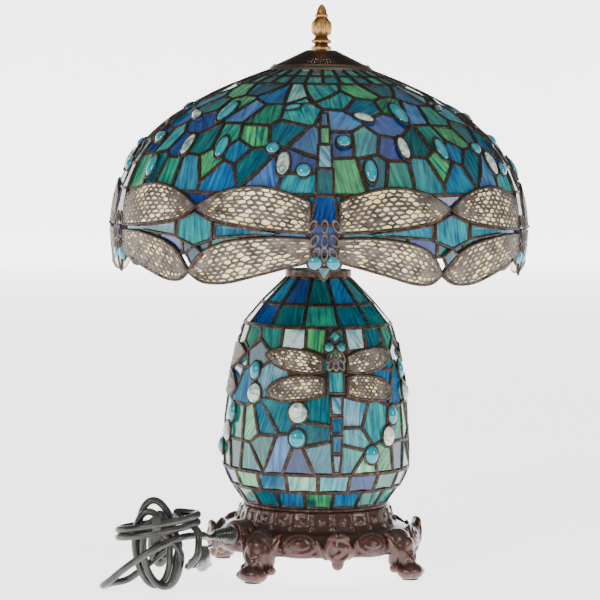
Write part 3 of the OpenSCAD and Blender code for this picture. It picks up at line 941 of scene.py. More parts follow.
def wing_net_piece(line, edges, rows, columns, lift, seed, name):
    """A wing's etched net: uneven six-sided cells with their middles cut out."""
    dice = random.Random(seed)
    net = net_cells(net_marks(line, *edges, rows, columns, lift, dice), name)
    wire = bpy.context.scene.lamp_sizes.net_wire
    cells = len(net.data.polygons)
    gains = (0.75, 1.0, 1.3)
    groups, reaches = [], []
    for face in net.data.polygons:
        corners = [net.data.vertices[index].co.copy() for index in face.vertices]
        girth = sum((a - b).length for a, b in zip(corners, corners[1:] + corners[:1]))
        room = 1.3 * face.area / girth / wire
        group = dice.randrange(len(gains))
        while group >= 0 and gains[group] > room:
            group -= 1
        groups.append(group if dice.random() > 0.02 else -1)
        centre = face.center.copy()
        reaches.append((centre, 0.92 * max((corner - centre).length for corner in corners)))
    for group, gain in enumerate(gains):
        for face in net.data.polygons:
            face.select = face.index < cells and groups[face.index] == group
        edit_selected(net)
        bpy.ops.mesh.inset(thickness=wire * gain, depth=0, use_individual=True)
        bpy.ops.object.mode_set(mode="OBJECT")
    for face in net.data.polygons:
        face.select = face.index < cells and groups[face.index] >= 0
        if face.select:
            centre, reach = reaches[face.index]
            for index in face.vertices:
                corner = net.data.vertices[index]
                if (corner.co - centre).length > reach:
                    corner.co = centre
    edit_selected(net)
    bpy.ops.mesh.delete(type="ONLY_FACE")
    bpy.ops.object.mode_set(mode="OBJECT")
    outward(net)
    modified(net, "SOLIDIFY", thickness=NET_THICKNESS, offset=1.0)
    return net


def edit_selected(piece):
    """Opens a piece in edit mode, by faces, keeping what is selected."""
    pick_up(piece)
    bpy.ops.object.mode_set(mode="EDIT")
    bpy.ops.mesh.select_mode(type="FACE")


def outward(piece):
    """Turns a thin shell's faces away from the lamp's axis."""
    total = sum(face.area * face.normal.dot(Vector((face.center.x, face.center.y, 0)).normalized())
                for face in piece.data.polygons)
    if total < 0:
        piece.data.flip_normals()


def mirrored(edges, scale=1.0):
    """The same wing on the other side of the body."""
    return tuple([(-turn * scale, height) for turn, height in edge] for edge in edges)


SHADE_UPPER = ([(-3.9, 349), (-10, 350), (-17, 352), (-26, 356), (-32, 361), (-35.6, 370)],
               [(-3.9, 377), (-9, 384), (-17, 390), (-25, 388), (-31, 381), (-35.6, 371)])
SHADE_LOWER = ([(-3.6, 322), (-10, 316), (-18, 308), (-27, 300), (-34, 300), (-38.6, 309)],
               [(-3.6, 343), (-12, 344), (-20, 342), (-28, 337), (-34, 327), (-38.6, 310)])
SHADE_LOWER_RIGHT = ([(3.6, 322), (10, 316), (18, 308), (25, 301), (30, 301), (33.2, 309)],
                     [(3.6, 343), (11, 344), (18, 342), (25, 337), (30, 327), (33.2, 310)])
POT_UPPER = ([(-9, 207), (-18, 205), (-30, 207), (-40, 211), (-47, 217), (-50, 221)],
             [(-9, 221), (-18, 226), (-30, 228), (-40, 228), (-47, 225), (-50, 222)])
POT_LOWER = ([(-8, 184), (-16, 181), (-26, 179), (-36, 178), (-42, 180), (-46, 186)],
             [(-8, 201), (-16, 203), (-26, 202), (-36, 199), (-42, 194), (-46, 187)])


def wing_parts(line, edges, rows, columns, lift, seed, name):
    """One wing: ivory glass, the etched net on it, and its bead of lead."""
    low, high = (through(edge, 25) for edge in edges)
    net = wing_net_piece(line, edges, rows, columns, lift + 0.9, seed, name + "_net")
    put_down()
    bpy.ops.mesh.primitive_grid_add(x_subdivisions=24, y_subdivisions=4, size=2)
    glass = bpy.context.active_object
    for vertex in glass.data.vertices:
        k = round((vertex.co.x + 1) * 12)
        point = low[k].lerp(high[k], (vertex.co.y + 1) / 2)
        vertex.co = spot(line, *point, lift)
    outward(glass)
    rim = [tuple(p) for p in low + high[::-1]]
    return net, glass, bead_on(line, rim, lift + 0.2, 1.7, 1.7, name + "_lead")


def add_wings(line, wings, rows, columns, count, lift, seed, name, turn):
    """All the wings of one ring of dragonflies."""
    made = [wing_parts(line, edges, rows, columns, lift, seed + k, name) for k, edges in enumerate(wings)]
    nets, glasses, borders = (list(parts) for parts in zip(*made))
    net = ring_of(joined(nets, name + "_net"), count, name + "_net", turn)
    paint(net, finish("net"))
    glass = joined(glasses, name + "_glass")
    modified(glass, "SOLIDIFY", thickness=WING_GLASS_THICKNESS, offset=-1.0)
    glass = ring_of(smooth(glass, 40), count, name + "_glass", turn)
    paint(glass, finish("ivory"))
    border = ring_of(beaded(borders, name + "_lead"), count, name + "_lead", turn)
    paint(border, finish("lead"))


# ---------------------------------------------------------------- operators

def cord_points():
    """Centre line of the cord in mm: exit, swing out, hank, waist wraps, plug."""
    points = [rolled(EXIT_TURN) @ Vector((reach, 0, EXIT_HEIGHT)) for reach in (108, 116, 125)]
    points += [Vector(place) for place in ((-122, -70, 45), (-128, -89, 48), (-135, -103, 52))]
    laid = [(-126, -158, 54), (-140, -168, 50), (-158, -172, 41), (-178, -170, 27), (-195, -161, 12),
            (-203, -147, CORD_LIE), (-196, -131, CORD_LIE), (-182, -122, 6), (-168, -124, 16)]
    for turn, (top, half, shift) in enumerate(((86, 18.0, 0.0), (76, 16.5, -5.0), (70, 17.5, 4.0))):
        middle = (top + CORD_LIE) / 2
        for part in range(TURN_POINTS):
            a = part * math.tau / TURN_POINTS
            z = middle - (top - middle) * math.sin(a)
            lean = (40 - z) * 0.10
            laid.append((BUNDLE_MIDDLE + shift + half * math.cos(a) + lean,
                         -131 - CORD_PITCH * turn - HANK_STEP * part, z))
    for turn in range(2):
        for part in range(TURN_POINTS):
            a = math.pi / 2 + part * math.tau / TURN_POINTS
            across = 38 * math.cos(a)
            laid.append((BUNDLE_MIDDLE + across, -140.5 + 23 * math.sin(a),
                         55 + CORD_PITCH * turn + 0.50 * part + across * 0.16))
    laid += [(-113, -152, 60), (-111, -160, 50), (-112, -166, 38), (-118, -164, 29),
             (-121, -154, 25), (-120, -141, 24), (-118, -128, 24)]
    return points + [rolled(BUNDLE_TURN) @ Vector(place) for place in laid]


class LAMP_OT_stage(bpy.types.Operator):
    """Floor, lights, camera and world"""
    bl_idname = "lamp.stage"
    bl_label = "Stage"

    def execute(self, context):
        bpy.ops.object.camera_add(location=CAMERA_PLACE)
        camera = context.active_object
        camera.name = "view_camera"
        camera.data.angle = math.radians(CAMERA_ANGLE)
        camera.data.clip_end = 20
        facing = (CAMERA_TARGET - CAMERA_PLACE).to_track_quat("-Z", "Y").to_matrix().to_4x4()
        camera.matrix_world = Matrix.Translation(CAMERA_PLACE) @ facing @ rolled(CAMERA_ROLL)
        context.scene.camera = camera
        put_down()
        bpy.ops.mesh.primitive_plane_add(size=14, location=(0, 2, 0))
        floor = context.active_object
        bpy.ops.mesh.primitive_plane_add(size=1, location=(0, 5, 0.4), rotation=(math.radians(90), 0, 0))
        backdrop = context.active_object
        backdrop.scale = (14, 2.6, 1)
        for sheet, name in ((floor, "floor_sheet"), (backdrop, "backdrop_sheet")):
            sheet.name = name
            sheet.data.name = name
            sheet.data.materials.append(finish("floor"))
        for name, (place, size, power) in LIGHTS.items():
            bpy.ops.object.light_add(type="AREA", location=place)
            light = context.active_object
            light.name = name
            light.data.size = size
            light.data.energy = power
            light.rotation_euler = (LIGHT_TARGET - Vector(place)).to_track_quat("-Z", "Y").to_euler()
        world = bpy.data.worlds.new("white_studio")
        world.use_nodes = True
        background = world.node_tree.nodes["Background"]
        background.inputs["Color"].default_value = (1, 1, 1, 1)
        background.inputs["Strength"].default_value = 0.15
        context.scene.world = world
        return {"FINISHED"}


class LAMP_OT_cord(bpy.types.Operator):
    """Mains cord: a single bundled length, with its strain relief, tie, switch and plug"""
    bl_idname = "lamp.cord"
    bl_label = "Cord"

    def execute(self, context):
        sizes = context.scene.lamp_sizes
        pieces = [relief(), tie(), switch_shell(), rocker(), plug_shell(), plug_pins()]
        points = [place * MM for place in cord_points()]
        put_down()
        bpy.ops.curve.primitive_bezier_curve_add()
        cord = context.active_object
        bpy.ops.object.mode_set(mode="OBJECT")
        curve = cord.data
        curve.dimensions = "3D"
        curve.splines.clear()
        spline = curve.splines.new("BEZIER")
        spline.bezier_points.add(len(points) - 1)
        for k, (knot, point) in enumerate(zip(spline.bezier_points, points)):
            before, after = points[max(k - 1, 0)], points[min(k + 1, len(points) - 1)]
            pull = (after - before) / 6
            knot.handle_left_type = knot.handle_right_type = "FREE"
            knot.co, knot.handle_left, knot.handle_right = point, point - pull, point + pull
        curve.bevel_depth = sizes.cord_diameter / 2
        curve.bevel_resolution = 4
        curve.resolution_u = 8
        curve.use_fill_caps = True
        cord.matrix_world = Matrix.Identity(4)
        cord.name = "mains_cord"
        curve.name = "mains_cord"
        paint(cord, finish("cord"))
        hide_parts("cord_run", "cord_hank")
        return {"FINISHED"}


def bundle_frame(u, v, z):
    """A frame in the bundle's own axes, in mm."""
    return rolled(BUNDLE_TURN) @ moved(u, v, z)


def block(name, size, matrix, bevel=0.0, segments=3):
    """A box with rounded edges, sizes in mm."""
    put_down()
    bpy.ops.mesh.primitive_cube_add(size=1)
    bpy.ops.object.mode_set(mode="EDIT")
    bpy.ops.transform.resize(value=tuple(side * MM for side in size))
    if bevel:
        bpy.ops.mesh.select_all(action="SELECT")
        bpy.ops.mesh.bevel(offset=bevel * MM, segments=segments)
    piece = settle(name)
    piece.data.transform(matrix)
    return piece


def relief():
    """Ribbed rubber strain relief where the cord leaves the base."""
    line = [(0.5, 92), (8.4, 92), (8.6, 103), (10.6, 103.4), (11, 104.2), (11, 105.2),
            (10.4, 106), (7.6, 106.4)]
    for k in range(6):
        start, radius = 107.0 + 3.0 * k, 7.4 - 0.4 * k
        line += [(radius, start), (radius, start + 1.7),
                 (radius - 0.9, start + 2.0), (radius - 0.9, start + 2.7)]
    line += [(4.6, 125.4), (4.3, 126), (0.5, 126)]
    piece = lathe("strain_relief_ribbed", line, 40)
    piece.data.transform(exit_frame())
    return done(piece, 35, "switch", "bakelite", "strain_relief")


def exit_frame():
    """The cord exit's own axes: Z out of the base."""
    return rolled(EXIT_TURN) @ moved(0, 0, EXIT_HEIGHT) @ rolled(90, "Y")


def tie():
    """Strip tie round the waist of the bundle, with its free end."""
    strip = block("tie_strip", (8, 1.2, 34), bundle_frame(BUNDLE_MIDDLE, -165.6, 58), 0.4, 2)
    end = block("tie_end", (3.5, 1.0, 16),
                bundle_frame(BUNDLE_MIDDLE - 2, -166.4, 40) @ Matrix.Rotation(0.4, 4, "Y"), 0.3, 2)
    return done(joined([strip, end], "bundle_tie"), 40, "tie", "tie_plastic", "cord_tie")


def switch_shell():
    """Inline switch housing with its rocker's rim and rounded ends."""
    def at(v, rise=0):
        return bundle_frame(BUNDLE_MIDDLE, v, SWITCH_HEIGHT + rise)
    shell = block("switch_half", (23, 17, 40), at(-106), 5.5, 5)
    noses = [ball("switch_nose", (9, 7.5, 13), at(-106, side * 15)) for side in (-1, 1)]
    rim = block("switch_rim", (13.5, 2.0, 19.5), at(-97.6), 0.8, 2)
    housing = joined([shell, rim] + noses, "inline_switch")
    return done(housing, 40, "switch", "switch_plastic", "switch_housing")


def rocker():
    """Rocker of the inline switch, with three grip ribs."""
    at = bundle_frame(BUNDLE_MIDDLE, -101.5, SWITCH_HEIGHT) @ rolled(-7, "X")
    key = block("rocker_key", (11, 8.0, 16), at, 1.2, 3)
    ribs = [block("rocker_rib", (8, 1.0, 0.8), at @ moved(0, 4.1, z), 0.3, 2) for z in (-5, -3.4, -1.8)]
    key = joined([key] + ribs, "switch_rocker_key")
    return done(key, 40, "switch", "switch_plastic", "switch_rocker")


def plug_frame():
    """The plug's own axes: X toward its pins."""
    return moved(*PLUG_PLACE) @ rolled(PLUG_TURN)


# The plug's outline from its cord end: (place, half width, half height).
PLUG_RINGS = [
    (0, 5, 5), (4, 5.2, 5.2), (5, 4.4, 4.4), (6, 4.4, 4.4), (7, 5.6, 5.6), (8.4, 5.6, 5.6),
    (9.4, 4.8, 4.8), (10.4, 4.8, 4.8), (11.4, 6.0, 6.2), (13, 6.0, 6.6), (18, 6.6, 9.0),
    (24, 6.9, 12.2), (31, 7.0, 12.9), (34, 6.6, 12.6), (35, 5.6, 11.6)]
PIN_LINE = [(0.01, 33), (2, 33), (2, 52.6), (1.5, 53.6), (0.8, 54), (0.01, 54)]


def plug_shell():
    """Moulded plug: slim ribbed grip widening to the pin face."""
    put_down()
    bpy.ops.mesh.primitive_circle_add(vertices=28, radius=1, fill_type="NGON")
    edit(bpy.context.active_object)
    place, wide, high = PLUG_RINGS[0]
    bpy.ops.transform.resize(value=(high * MM, wide * MM, 1))
    for to_place, to_wide, to_high in PLUG_RINGS[1:]:
        bpy.ops.mesh.extrude_region_move(TRANSFORM_OT_translate={"value": (0, 0, (to_place - place) * MM)})
        bpy.ops.transform.resize(value=(to_high / high, to_wide / wide, 1))
        place, wide, high = to_place, to_wide, to_high
    bpy.ops.mesh.select_all(action="SELECT")
    bpy.ops.mesh.normals_make_consistent(inside=False)
    shell = settle("moulded_plug")
    shell.data.transform(plug_frame() @ rolled(90, "Y"))
    return done(shell, 40, "plug", "plug_plastic", "plug_body")


def plug_pins():
    """Two plug pins with rounded ends."""
    pins = []
    for side in (-1, 1):
        pin = lathe("pin", PIN_LINE, 24)
        pin.data.transform(plug_frame() @ moved(0, 0, PIN_SPACING / 2 * side) @ rolled(90, "Y"))
        pins.append(pin)
    return done(joined(pins, "plug_pin_pair"), 40, "steel", "plated_steel", "plug_pins")


def cabochons(line, gems, count, turn, name, colour):
    """Oval cabochons in lead bezels on an outline: (turn, height, width, height, roll)."""
    stones, rims = [], []
    for gem_turn, height, wide, high, roll in gems:
        at = spot_frame(line, gem_turn, height, 0.6, roll)
        half, tall = wide / 2, high / 2
        stones.append(ball(name, (half, tall, min(wide, high) * 0.36), at, 28, 14))
        rims.append(hoop(name, half + 0.3, tall + 0.3, 1.25, at @ moved(0, 0, 0.6), 28))
    stone = done(ring_of(joined(stones, name), count, name, turn), 80, colour, "glass_jewel")
    name += "_bezels"
    done(ring_of(joined(rims, name), count, name, turn), 80, "lead", "lead_came")
    return stone


# Cabochons of one sector: turn from the dragonfly, height, width, length, roll.
SHADE_TURQUOISE = [(-13, 464, 16, 8, 20), (31, 459, 14, 33, 0), (-33, 426, 12, 26, 0),
                   (-16, 426, 13, 13, 0), (-6, 406, 14, 14, 0), (6, 433, 14, 14, 0), (13, 406, 12, 24, 0)]
SHADE_CLEAR = [(15, 455, 21, 11, -30), (25, 427, 11, 27, 0), (-12, 412, 13, 26, 0)]
SHADE_EYES = [(-2.4, 321, 14, 14, 0), (2.4, 321, 14, 14, 0)]
POT_TURQUOISE = [(-58, 205, 13, 18, 0), (-24, 142, 17, 18, 0), (42, 162, 14, 19, 0), (23, 125, 16, 18, 0)]
POT_CLEAR = [(-56, 183, 17, 20, 0), (-24, 167, 19, 20, 0), (37, 142, 16, 20, 0)]
POT_EYES = [(-4.2, 230, 10, 10, 0), (4.2, 230, 10, 10, 0)]

# Bodies of the dragonflies: top, bottom, half widths there, glass.
SHADE_BODY = [(458, 446, 3.0, 4.2, "blue"), (445, 430, 4.6, 5.0, "green"), (429, 408, 6.0, 6.8, "mist"),
              (407, 384, 7.6, 8.4, "teal"), (383, 357, 9.0, 12.5, "navy"), (356, 329, 12.6, 11.0, "navy")]
POT_BODY = [(227, 211, 5.0, 7.0, "navy"), (207, 186, 7.5, 8.0, "aqua"), (183, 165, 6.0, 5.4, "mist"),
            (163, 147, 5.4, 5.0, "blue"), (145, 128, 5.0, 4.4, "blue"), (126, 109, 4.4, 3.0, "mist")]

# Small raised tiles: outlines of (turn, height) between the wings and at the heads.
SHADE_FILLS = [
    ([(-36, 365), (-30.5, 357), (-30.5, 341), (-36, 334), (-41.5, 341), (-41.5, 357)], "aqua"),
    ([(-29.6, 356), (-29.6, 342.5), (-12, 347.5)], "sky"),
    ([(29.6, 356), (29.6, 342.5), (12, 347.5)], "sky"),
    ([(-36, 334), (-33.4, 326), (-36.8, 314), (-38.8, 326)], "teal")]
SHADE_NOSE = [(-1.8, 317), (1.8, 317), (1.0, 309), (0, 304), (-1.0, 309)]
POT_BROWS = [[(0, 246), (4.5, 240), (0, 234.5), (-4.5, 240)],
             [(0, 229), (5, 222), (0, 215), (-5, 222)]]

# Glass of the plain rows, tile by tile.
CROWN_GLASS = ["sea", "teal", "aqua", "teal", "sea", "teal", "teal", "aqua", "teal", "sea", "teal", "aqua"]
BAND_GLASS = ["teal", "navy", "sea", "blue", "sea", "aqua", "teal", "navy",
              "sea", "aqua", "blue", "teal", "aqua", "sea", "navy", "teal"]
CONE_GLASS = ["teal", "teal", "blue", "navy", "teal", "blue", "teal",
              "teal", "sea", "teal", "navy", "teal", "sea"]
FOOT_GLASS = ["blue", "mint", "aqua", "navy", "sea", "mist", "teal", "blue", "green"] * 2


class LAMP_OT_shade_glass(bpy.types.Operator):
    """Shade: tiles of streaky glass in soldered came"""
    bl_idname = "lamp.shade_glass"
    bl_label = "Shade Glass"

    def execute(self, context):
        sizes = context.scene.lamp_sizes
        count, turn = sizes.shade_flies, sizes.shade_turn
        cells = sector_cells(SHADE_LINE, SHADE_SEEDS, count, 384, 487, "shade_cells")
        leaded(cells, [seed[2] for seed in SHADE_SEEDS], "shade_upper", count, turn, 11)
        crown = row_cells(SHADE_LINE, [(487, 494.5, 6, 0), (494.5, 500.8, 6, 0)], "shade_crown", -36, 36)
        leaded(crown, CROWN_GLASS, "shade_crown", count, turn, 13)
        band = row_cells(SHADE_LINE, [(355, 384, 8, 4.5), (326, 355, 8, 4.5)], "shade_band", -36, 36)
        leaded(band, BAND_GLASS, "shade_band", count, turn, 12)
        raised(SHADE_LINE, [fine_outline(outline, 3) for outline, _ in SHADE_FILLS],
               [glass for _, glass in SHADE_FILLS], 2.3, count, turn, "shade_fill", 3)
        return {"FINISHED"}


class LAMP_OT_shade_flies(bpy.types.Operator):
    """Shade: dragonflies with etched wings, leaded bodies and glass eyes"""
    bl_idname = "lamp.shade_flies"
    bl_label = "Shade Dragonflies"

    def execute(self, context):
        sizes = context.scene.lamp_sizes
        count, turn = sizes.shade_flies, sizes.shade_turn
        wings = [SHADE_UPPER, SHADE_LOWER, mirrored(SHADE_UPPER), SHADE_LOWER_RIGHT]
        add_wings(SHADE_LINE, wings, 9, 17, count, 1.5, 5, "shade_wing", turn)
        body(SHADE_LINE, SHADE_BODY, count, turn, "shade_fly")
        cabochons(SHADE_LINE, SHADE_EYES, count, turn, "shade_eyes", "turquoise")
        raised(SHADE_LINE, [SHADE_NOSE], ["sky"], 2.2, count, turn, "shade_nose", 4, 1.2)
        thorax_net(SHADE_LINE, [(355, 5.0), (342, 4.2), (330, 3.6)], 3.2, count, turn, "shade_thorax")
        return {"FINISHED"}


def body(line, segments, count, turn, name):
    """A dragonfly's body: a column of raised tiles, (top, bottom, half widths, glass)."""
    outlines = []
    for top, bottom, narrow, wide, _ in segments:
        a = math.degrees(narrow / radius_at(line, top))
        b = math.degrees(wide / radius_at(line, bottom))
        outlines.append(fine_outline([(-a, top), (a, top), (b, bottom), (-b, bottom)], 2))
    raised(line, outlines, [segment[4] for segment in segments], 1.7, count, turn, name + "_body", 7)


def thorax_net(line, places, lift, count, turn, name):
    """Etched scrollwork over the thorax: a lattice of small oval loops."""
    loops = []
    for height, half in places:
        for side in (-1, 0, 1):
            at = spot_frame(line, side * half * 0.62, height, lift, side * 28)
            loops.append(hoop(name, 2.9, 5.8, 0.85, at, 14))
    net = ring_of(joined(loops, name), count, name, turn)
    done(net, 80, "net", "filigree_wing")


class LAMP_OT_shade_jewels(bpy.types.Operator):
    """Shade: cabochons in lead bezels"""
    bl_idname = "lamp.shade_jewels"
    bl_label = "Shade Jewels"

    def execute(self, context):
        sizes = context.scene.lamp_sizes
        count, turn = sizes.shade_flies, sizes.shade_turn
        stone = cabochons(SHADE_LINE, SHADE_TURQUOISE, count, turn, "shade_turquoise", "turquoise")
        cabochons(SHADE_LINE, SHADE_CLEAR, count, turn, "shade_clear", "clear")
        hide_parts("shade_glass", "shade_came", "shade_wings", "shade_jewels", "rim_wire")
        return {"FINISHED"}


class LAMP_OT_pot(bpy.types.Operator):
    """Pot: tiles, dragonflies and cabochons"""
    bl_idname = "lamp.pot"
    bl_label = "Pot"

    def execute(self, context):
        count = context.scene.lamp_sizes.pot_flies
        cells = sector_cells(POT_LINE, POT_SEEDS, count, 106, 249, "pot_cells")
        leaded(cells, [seed[2] for seed in POT_SEEDS], "pot_upper", count, 0.0, 21)
        rows = row_cells(POT_LINE, [(71, 88, 18, 0), (88, 106, 18, 9),
                                    (249, 270, 13, 4), (270, 295.5, 13, 4)], "pot_rows")
        glasses = (FOOT_GLASS + FOOT_GLASS[3:] + FOOT_GLASS[:3]
                   + CONE_GLASS + CONE_GLASS[5:] + CONE_GLASS[:5])
        leaded(rows, glasses, "pot_rows", 1, 0.0, 22)
        wings = [POT_UPPER, mirrored(POT_UPPER, 0.94), POT_LOWER, mirrored(POT_LOWER, 0.94)]
        add_wings(POT_LINE, wings, 7, 15, count, 1.4, 15, "pot_wing", 0.0)
        body(POT_LINE, POT_BODY, count, 0.0, "pot_fly")
        cabochons(POT_LINE, POT_EYES, count, 0.0, "pot_eyes", "deep")
        stone = cabochons(POT_LINE, POT_TURQUOISE, count, 0.0, "pot_turquoise", "turquoise")
        cabochons(POT_LINE, POT_CLEAR, count, 0.0, "pot_clear", "clear")
        raised(POT_LINE, POT_BROWS, ["aqua", "mint"], 2.6, count, 0.0, "pot_brow", 9, 1.1)
        thorax_net(POT_LINE, [(221, 6.0), (214, 5.0)], 2.8, count, 0.0, "pot_thorax")
        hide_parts("pot_glass", "pot_came", "pot_wings", "pot_jewels")
        return {"FINISHED"}


# ---------------------------------------------------------------- cast base

CASTING_GRAIN = 0.0013      # size of the remesh that fuses the ornament, in metres

# Outlines of (radius, height), the boss's along its own axis.
APRON_LINE = [
    (58, 67), (70, 67), (73.5, 66.4), (75.3, 64.6), (74.6, 62.6), (76.4, 61), (77.6, 53), (79.5, 51.6),
    (80.6, 49.6), (83, 47.6), (88, 46.4), (93, 44), (97, 40), (100, 36.4), (103, 33.4), (103.6, 30),
    (102.5, 26), (98, 26), (94, 31), (89, 40), (80, 43), (72, 50), (66, 60), (58, 62)]
EXIT_BOSS_LINE = [(0.5, 84), (13, 84), (13, 101.6), (11.8, 103), (0.5, 103)]


def ring_ornament():
    """The egg ring: oval hoops with bosses, and flared ribs between them."""
    count = bpy.context.scene.lamp_sizes.ring_bosses
    egg = rolled(180 / count) @ moved(0, -75.5, 57) @ rolled(76, "X")
    parts = [hoop("egg_hoop", 6.2, 8.2, 1.4, egg, 24),
             ball("egg_boss", (3.2, 3.8, 3.4), egg, 16, 10),
             block("egg_rib", (2.4, 5.6, 18), moved(0, -76, 57) @ rolled(-14, "X"), 0.9, 2),
             ball("egg_rib_foot", (2.6, 3.4, 4.4), moved(0, -78.6, 50.5), 12, 8)]
    return ring_of(joined(parts, "egg_ring"), count, "egg_ring")


def apron_ornament():
    """Large oval cartouches on the apron, one to each side of a rosette, over a rolled lip."""
    parts = []
    for side in (-1, 1):
        round_axis = rolled(21 * side)
        at = (round_axis @ moved(0, -98.5, 38) @ rolled(62, "X"))
        parts.append(ball("apron_shield", (17, 11, 4.5), at, 28, 12))
        parts.append(hoop("apron_frame", 15.5, 10, 1.9, at @ moved(0, 0, 1.6), 32))
        parts.append(hoop("apron_inner_frame", 9.5, 5.8, 1.1, at @ moved(0, 0, 4.2), 28))
        parts.append(ball("apron_boss", (6.2, 3.4, 2.2), at @ moved(0, 0, 4.2), 20, 10))
        parts.append(ball("apron_lip", (18, 3.0, 3.6), round_axis @ moved(0, -101.5, 28.5),
                          24, 10))
        for turn, lean in ((9, 26), (35, -30)):
            rib = (rolled(turn * side)
                   @ moved(0, -102.5, 34) @ rolled(lean * side, "Y"))
            parts.append(ball("apron_rib", (2.6, 3.4, 12), rib, 14, 12))
    return parts


def rosette_ornament():
    """Swirling rosette with a hanging tongue."""
    parts = []
    face = moved(0, -104.5, 35) @ rolled(90, "X")
    parts.append(ball("rose_back", (14.5, 14, 4.0), face, 28, 12))
    parts.append(hoop("rose_rim", 11.5, 11.0, 1.9, face @ moved(0, 0, 2.5), 30))
    for k in range(3):
        turn = face @ Matrix.Rotation(k * math.tau / 3 + 0.4, 4, "Z") @ moved(4.5, 0, 3.5)
        parts.append(ball("rose_petal", (3.0, 5.6, 2.6), turn @ Matrix.Rotation(0.8, 4, "Z"), 16, 10))
    parts.append(ball("rose_tongue", (6.5, 7, 4.0), face @ moved(0, -14, -0.5), 18, 10))
    for side in (-1, 1):
        parts.append(ball("rose_brow", (6.5, 2.6, 3.4), face @ moved(6 * side, 12.5, 1)
                          @ Matrix.Rotation(-0.5 * side, 4, "Z"), 16, 8))
    return parts


def paw_ornament():
    """Paw foot: knee with a large oval cartouche, a flared hem and ribbed toes."""
    def at(x, y, z, pitch=0.0, roll=0.0):
        return (moved(y, -x, z) @ rolled(pitch, "X")
                @ rolled(roll, "Y"))
    parts = [ball("knee", (17, 10, 12), at(98, 0, 38, -20), 28, 16),
             ball("shin", (14, 8.5, 18), at(104, 0, 25, 18), 26, 16),
             ball("paw", (16, 12.5, 9), at(112.5, 0, 8), 26, 14)]
    shield = at(108.2, 0, 30, 62)
    parts += [ball("paw_shield", (10.5, 14, 3.6), shield, 26, 12),
              hoop("paw_frame", 9.6, 13.0, 1.6, shield @ moved(0, 0, 1.4), 30),
              ball("paw_boss", (6.0, 9.0, 2.6), shield @ moved(0, 0, 2.4), 20, 12)]
    for k in (-2, -1, 0, 1, 2):
        toe = at(117.5 - abs(k) * 1.9, k * 5.4, 7.0, -8) @ rolled(9 * k)
        parts.append(ball("toe", (2.9, 8.5, 5.0), toe, 14, 10))
        parts.append(ball("shin_rib", (1.7, 3.0, 8.5), at(113 - abs(k) * 1.6, k * 4.4, 17, 24), 12, 10))
    for side in (-1, 1):
        parts.append(ball("hem", (3.2, 5.5, 13), at(101, 14.5 * side, 24, 14, 10 * side), 16, 12))
        parts.append(ball("hem_curl", (4.2, 5.0, 4.6), at(103, 16.0 * side, 12), 16, 10))
        parts.append(ball("shoulder", (3.0, 4.5, 10), at(97, 15 * side, 40, -24, 36 * side), 14, 12))
    return parts


class LAMP_OT_base(bpy.types.Operator):
    """Base: cast and painted pedestal with egg ring, rosettes and paw feet"""
    bl_idname = "lamp.base"
    bl_label = "Base"

    def execute(self, context):
        apron = lathe("apron", APRON_LINE, 128, closed=True)
        parts = [apron, ring_ornament()]
        for makers, first in ((rosette_ornament, 0.0), (apron_ornament, 0.0), (paw_ornament, math.pi / 4)):
            parts.append(ring_of(joined(makers(), "ornament"), 4, "ornament", first))
        boss = lathe("exit_boss", EXIT_BOSS_LINE, 40, closed=True)
        boss.data.transform(exit_frame())
        parts.append(boss)
        casting = joined(parts, "cast_base")
        modified(casting, "REMESH", mode="VOXEL", voxel_size=CASTING_GRAIN, adaptivity=0.0)
        modified(casting, "SMOOTH", factor=0.5, iterations=2)
        edit(casting)
        bpy.ops.mesh.bisect(plane_co=(0, 0, 0.002), plane_no=(0, 0, -1), clear_outer=True, use_fill=True)
        bpy.ops.object.mode_set(mode="OBJECT")
        modified(casting, "DECIMATE", ratio=0.62)
        done(casting, 75, "bronze", "cast_bronze", "base_casting")
        return {"FINISHED"}


# Outlines of (radius, height).
CAP_STEPS = 72
CAP_LINE = [(13, 521), (15, 520.6), (20, 518.2), (25, 515.8), (30, 513.4), (35, 511), (40, 508.6),
            (45, 506.2), (47.4, 505)]
CAP_BEAD_LINE = [(46.2, 504.2), (48.2, 504), (48.8, 505.2), (47.8, 506.6), (46, 506.6)]
CAP_HUB_LINE = [(5.2, 521.1), (12, 521.1), (14, 520.4), (14, 518.8), (5.2, 518.9)]
CAP_BAND_LINE = [(44, 505), (49.4, 504.4), (52, 502), (52.6, 499.8), (51.4, 498.6), (44, 500)]
FINIAL_LINE = [
    (0.01, 523), (5.3, 521.4), (9.8, 521.4), (10.3, 522.6), (9.8, 524.2), (7.2, 525.2), (6.6, 527),
    (9.2, 528.8), (9.4, 530.4), (7.4, 531.8), (6.2, 534), (8.2, 537), (9.6, 541), (9.8, 545),
    (8.8, 549), (6.6, 552), (5.6, 553.2), (6.9, 554.4), (6.9, 555.6), (5.2, 557), (5.0, 559.4),
    (4.0, 562.4), (2.2, 565.2), (0.01, 567)]


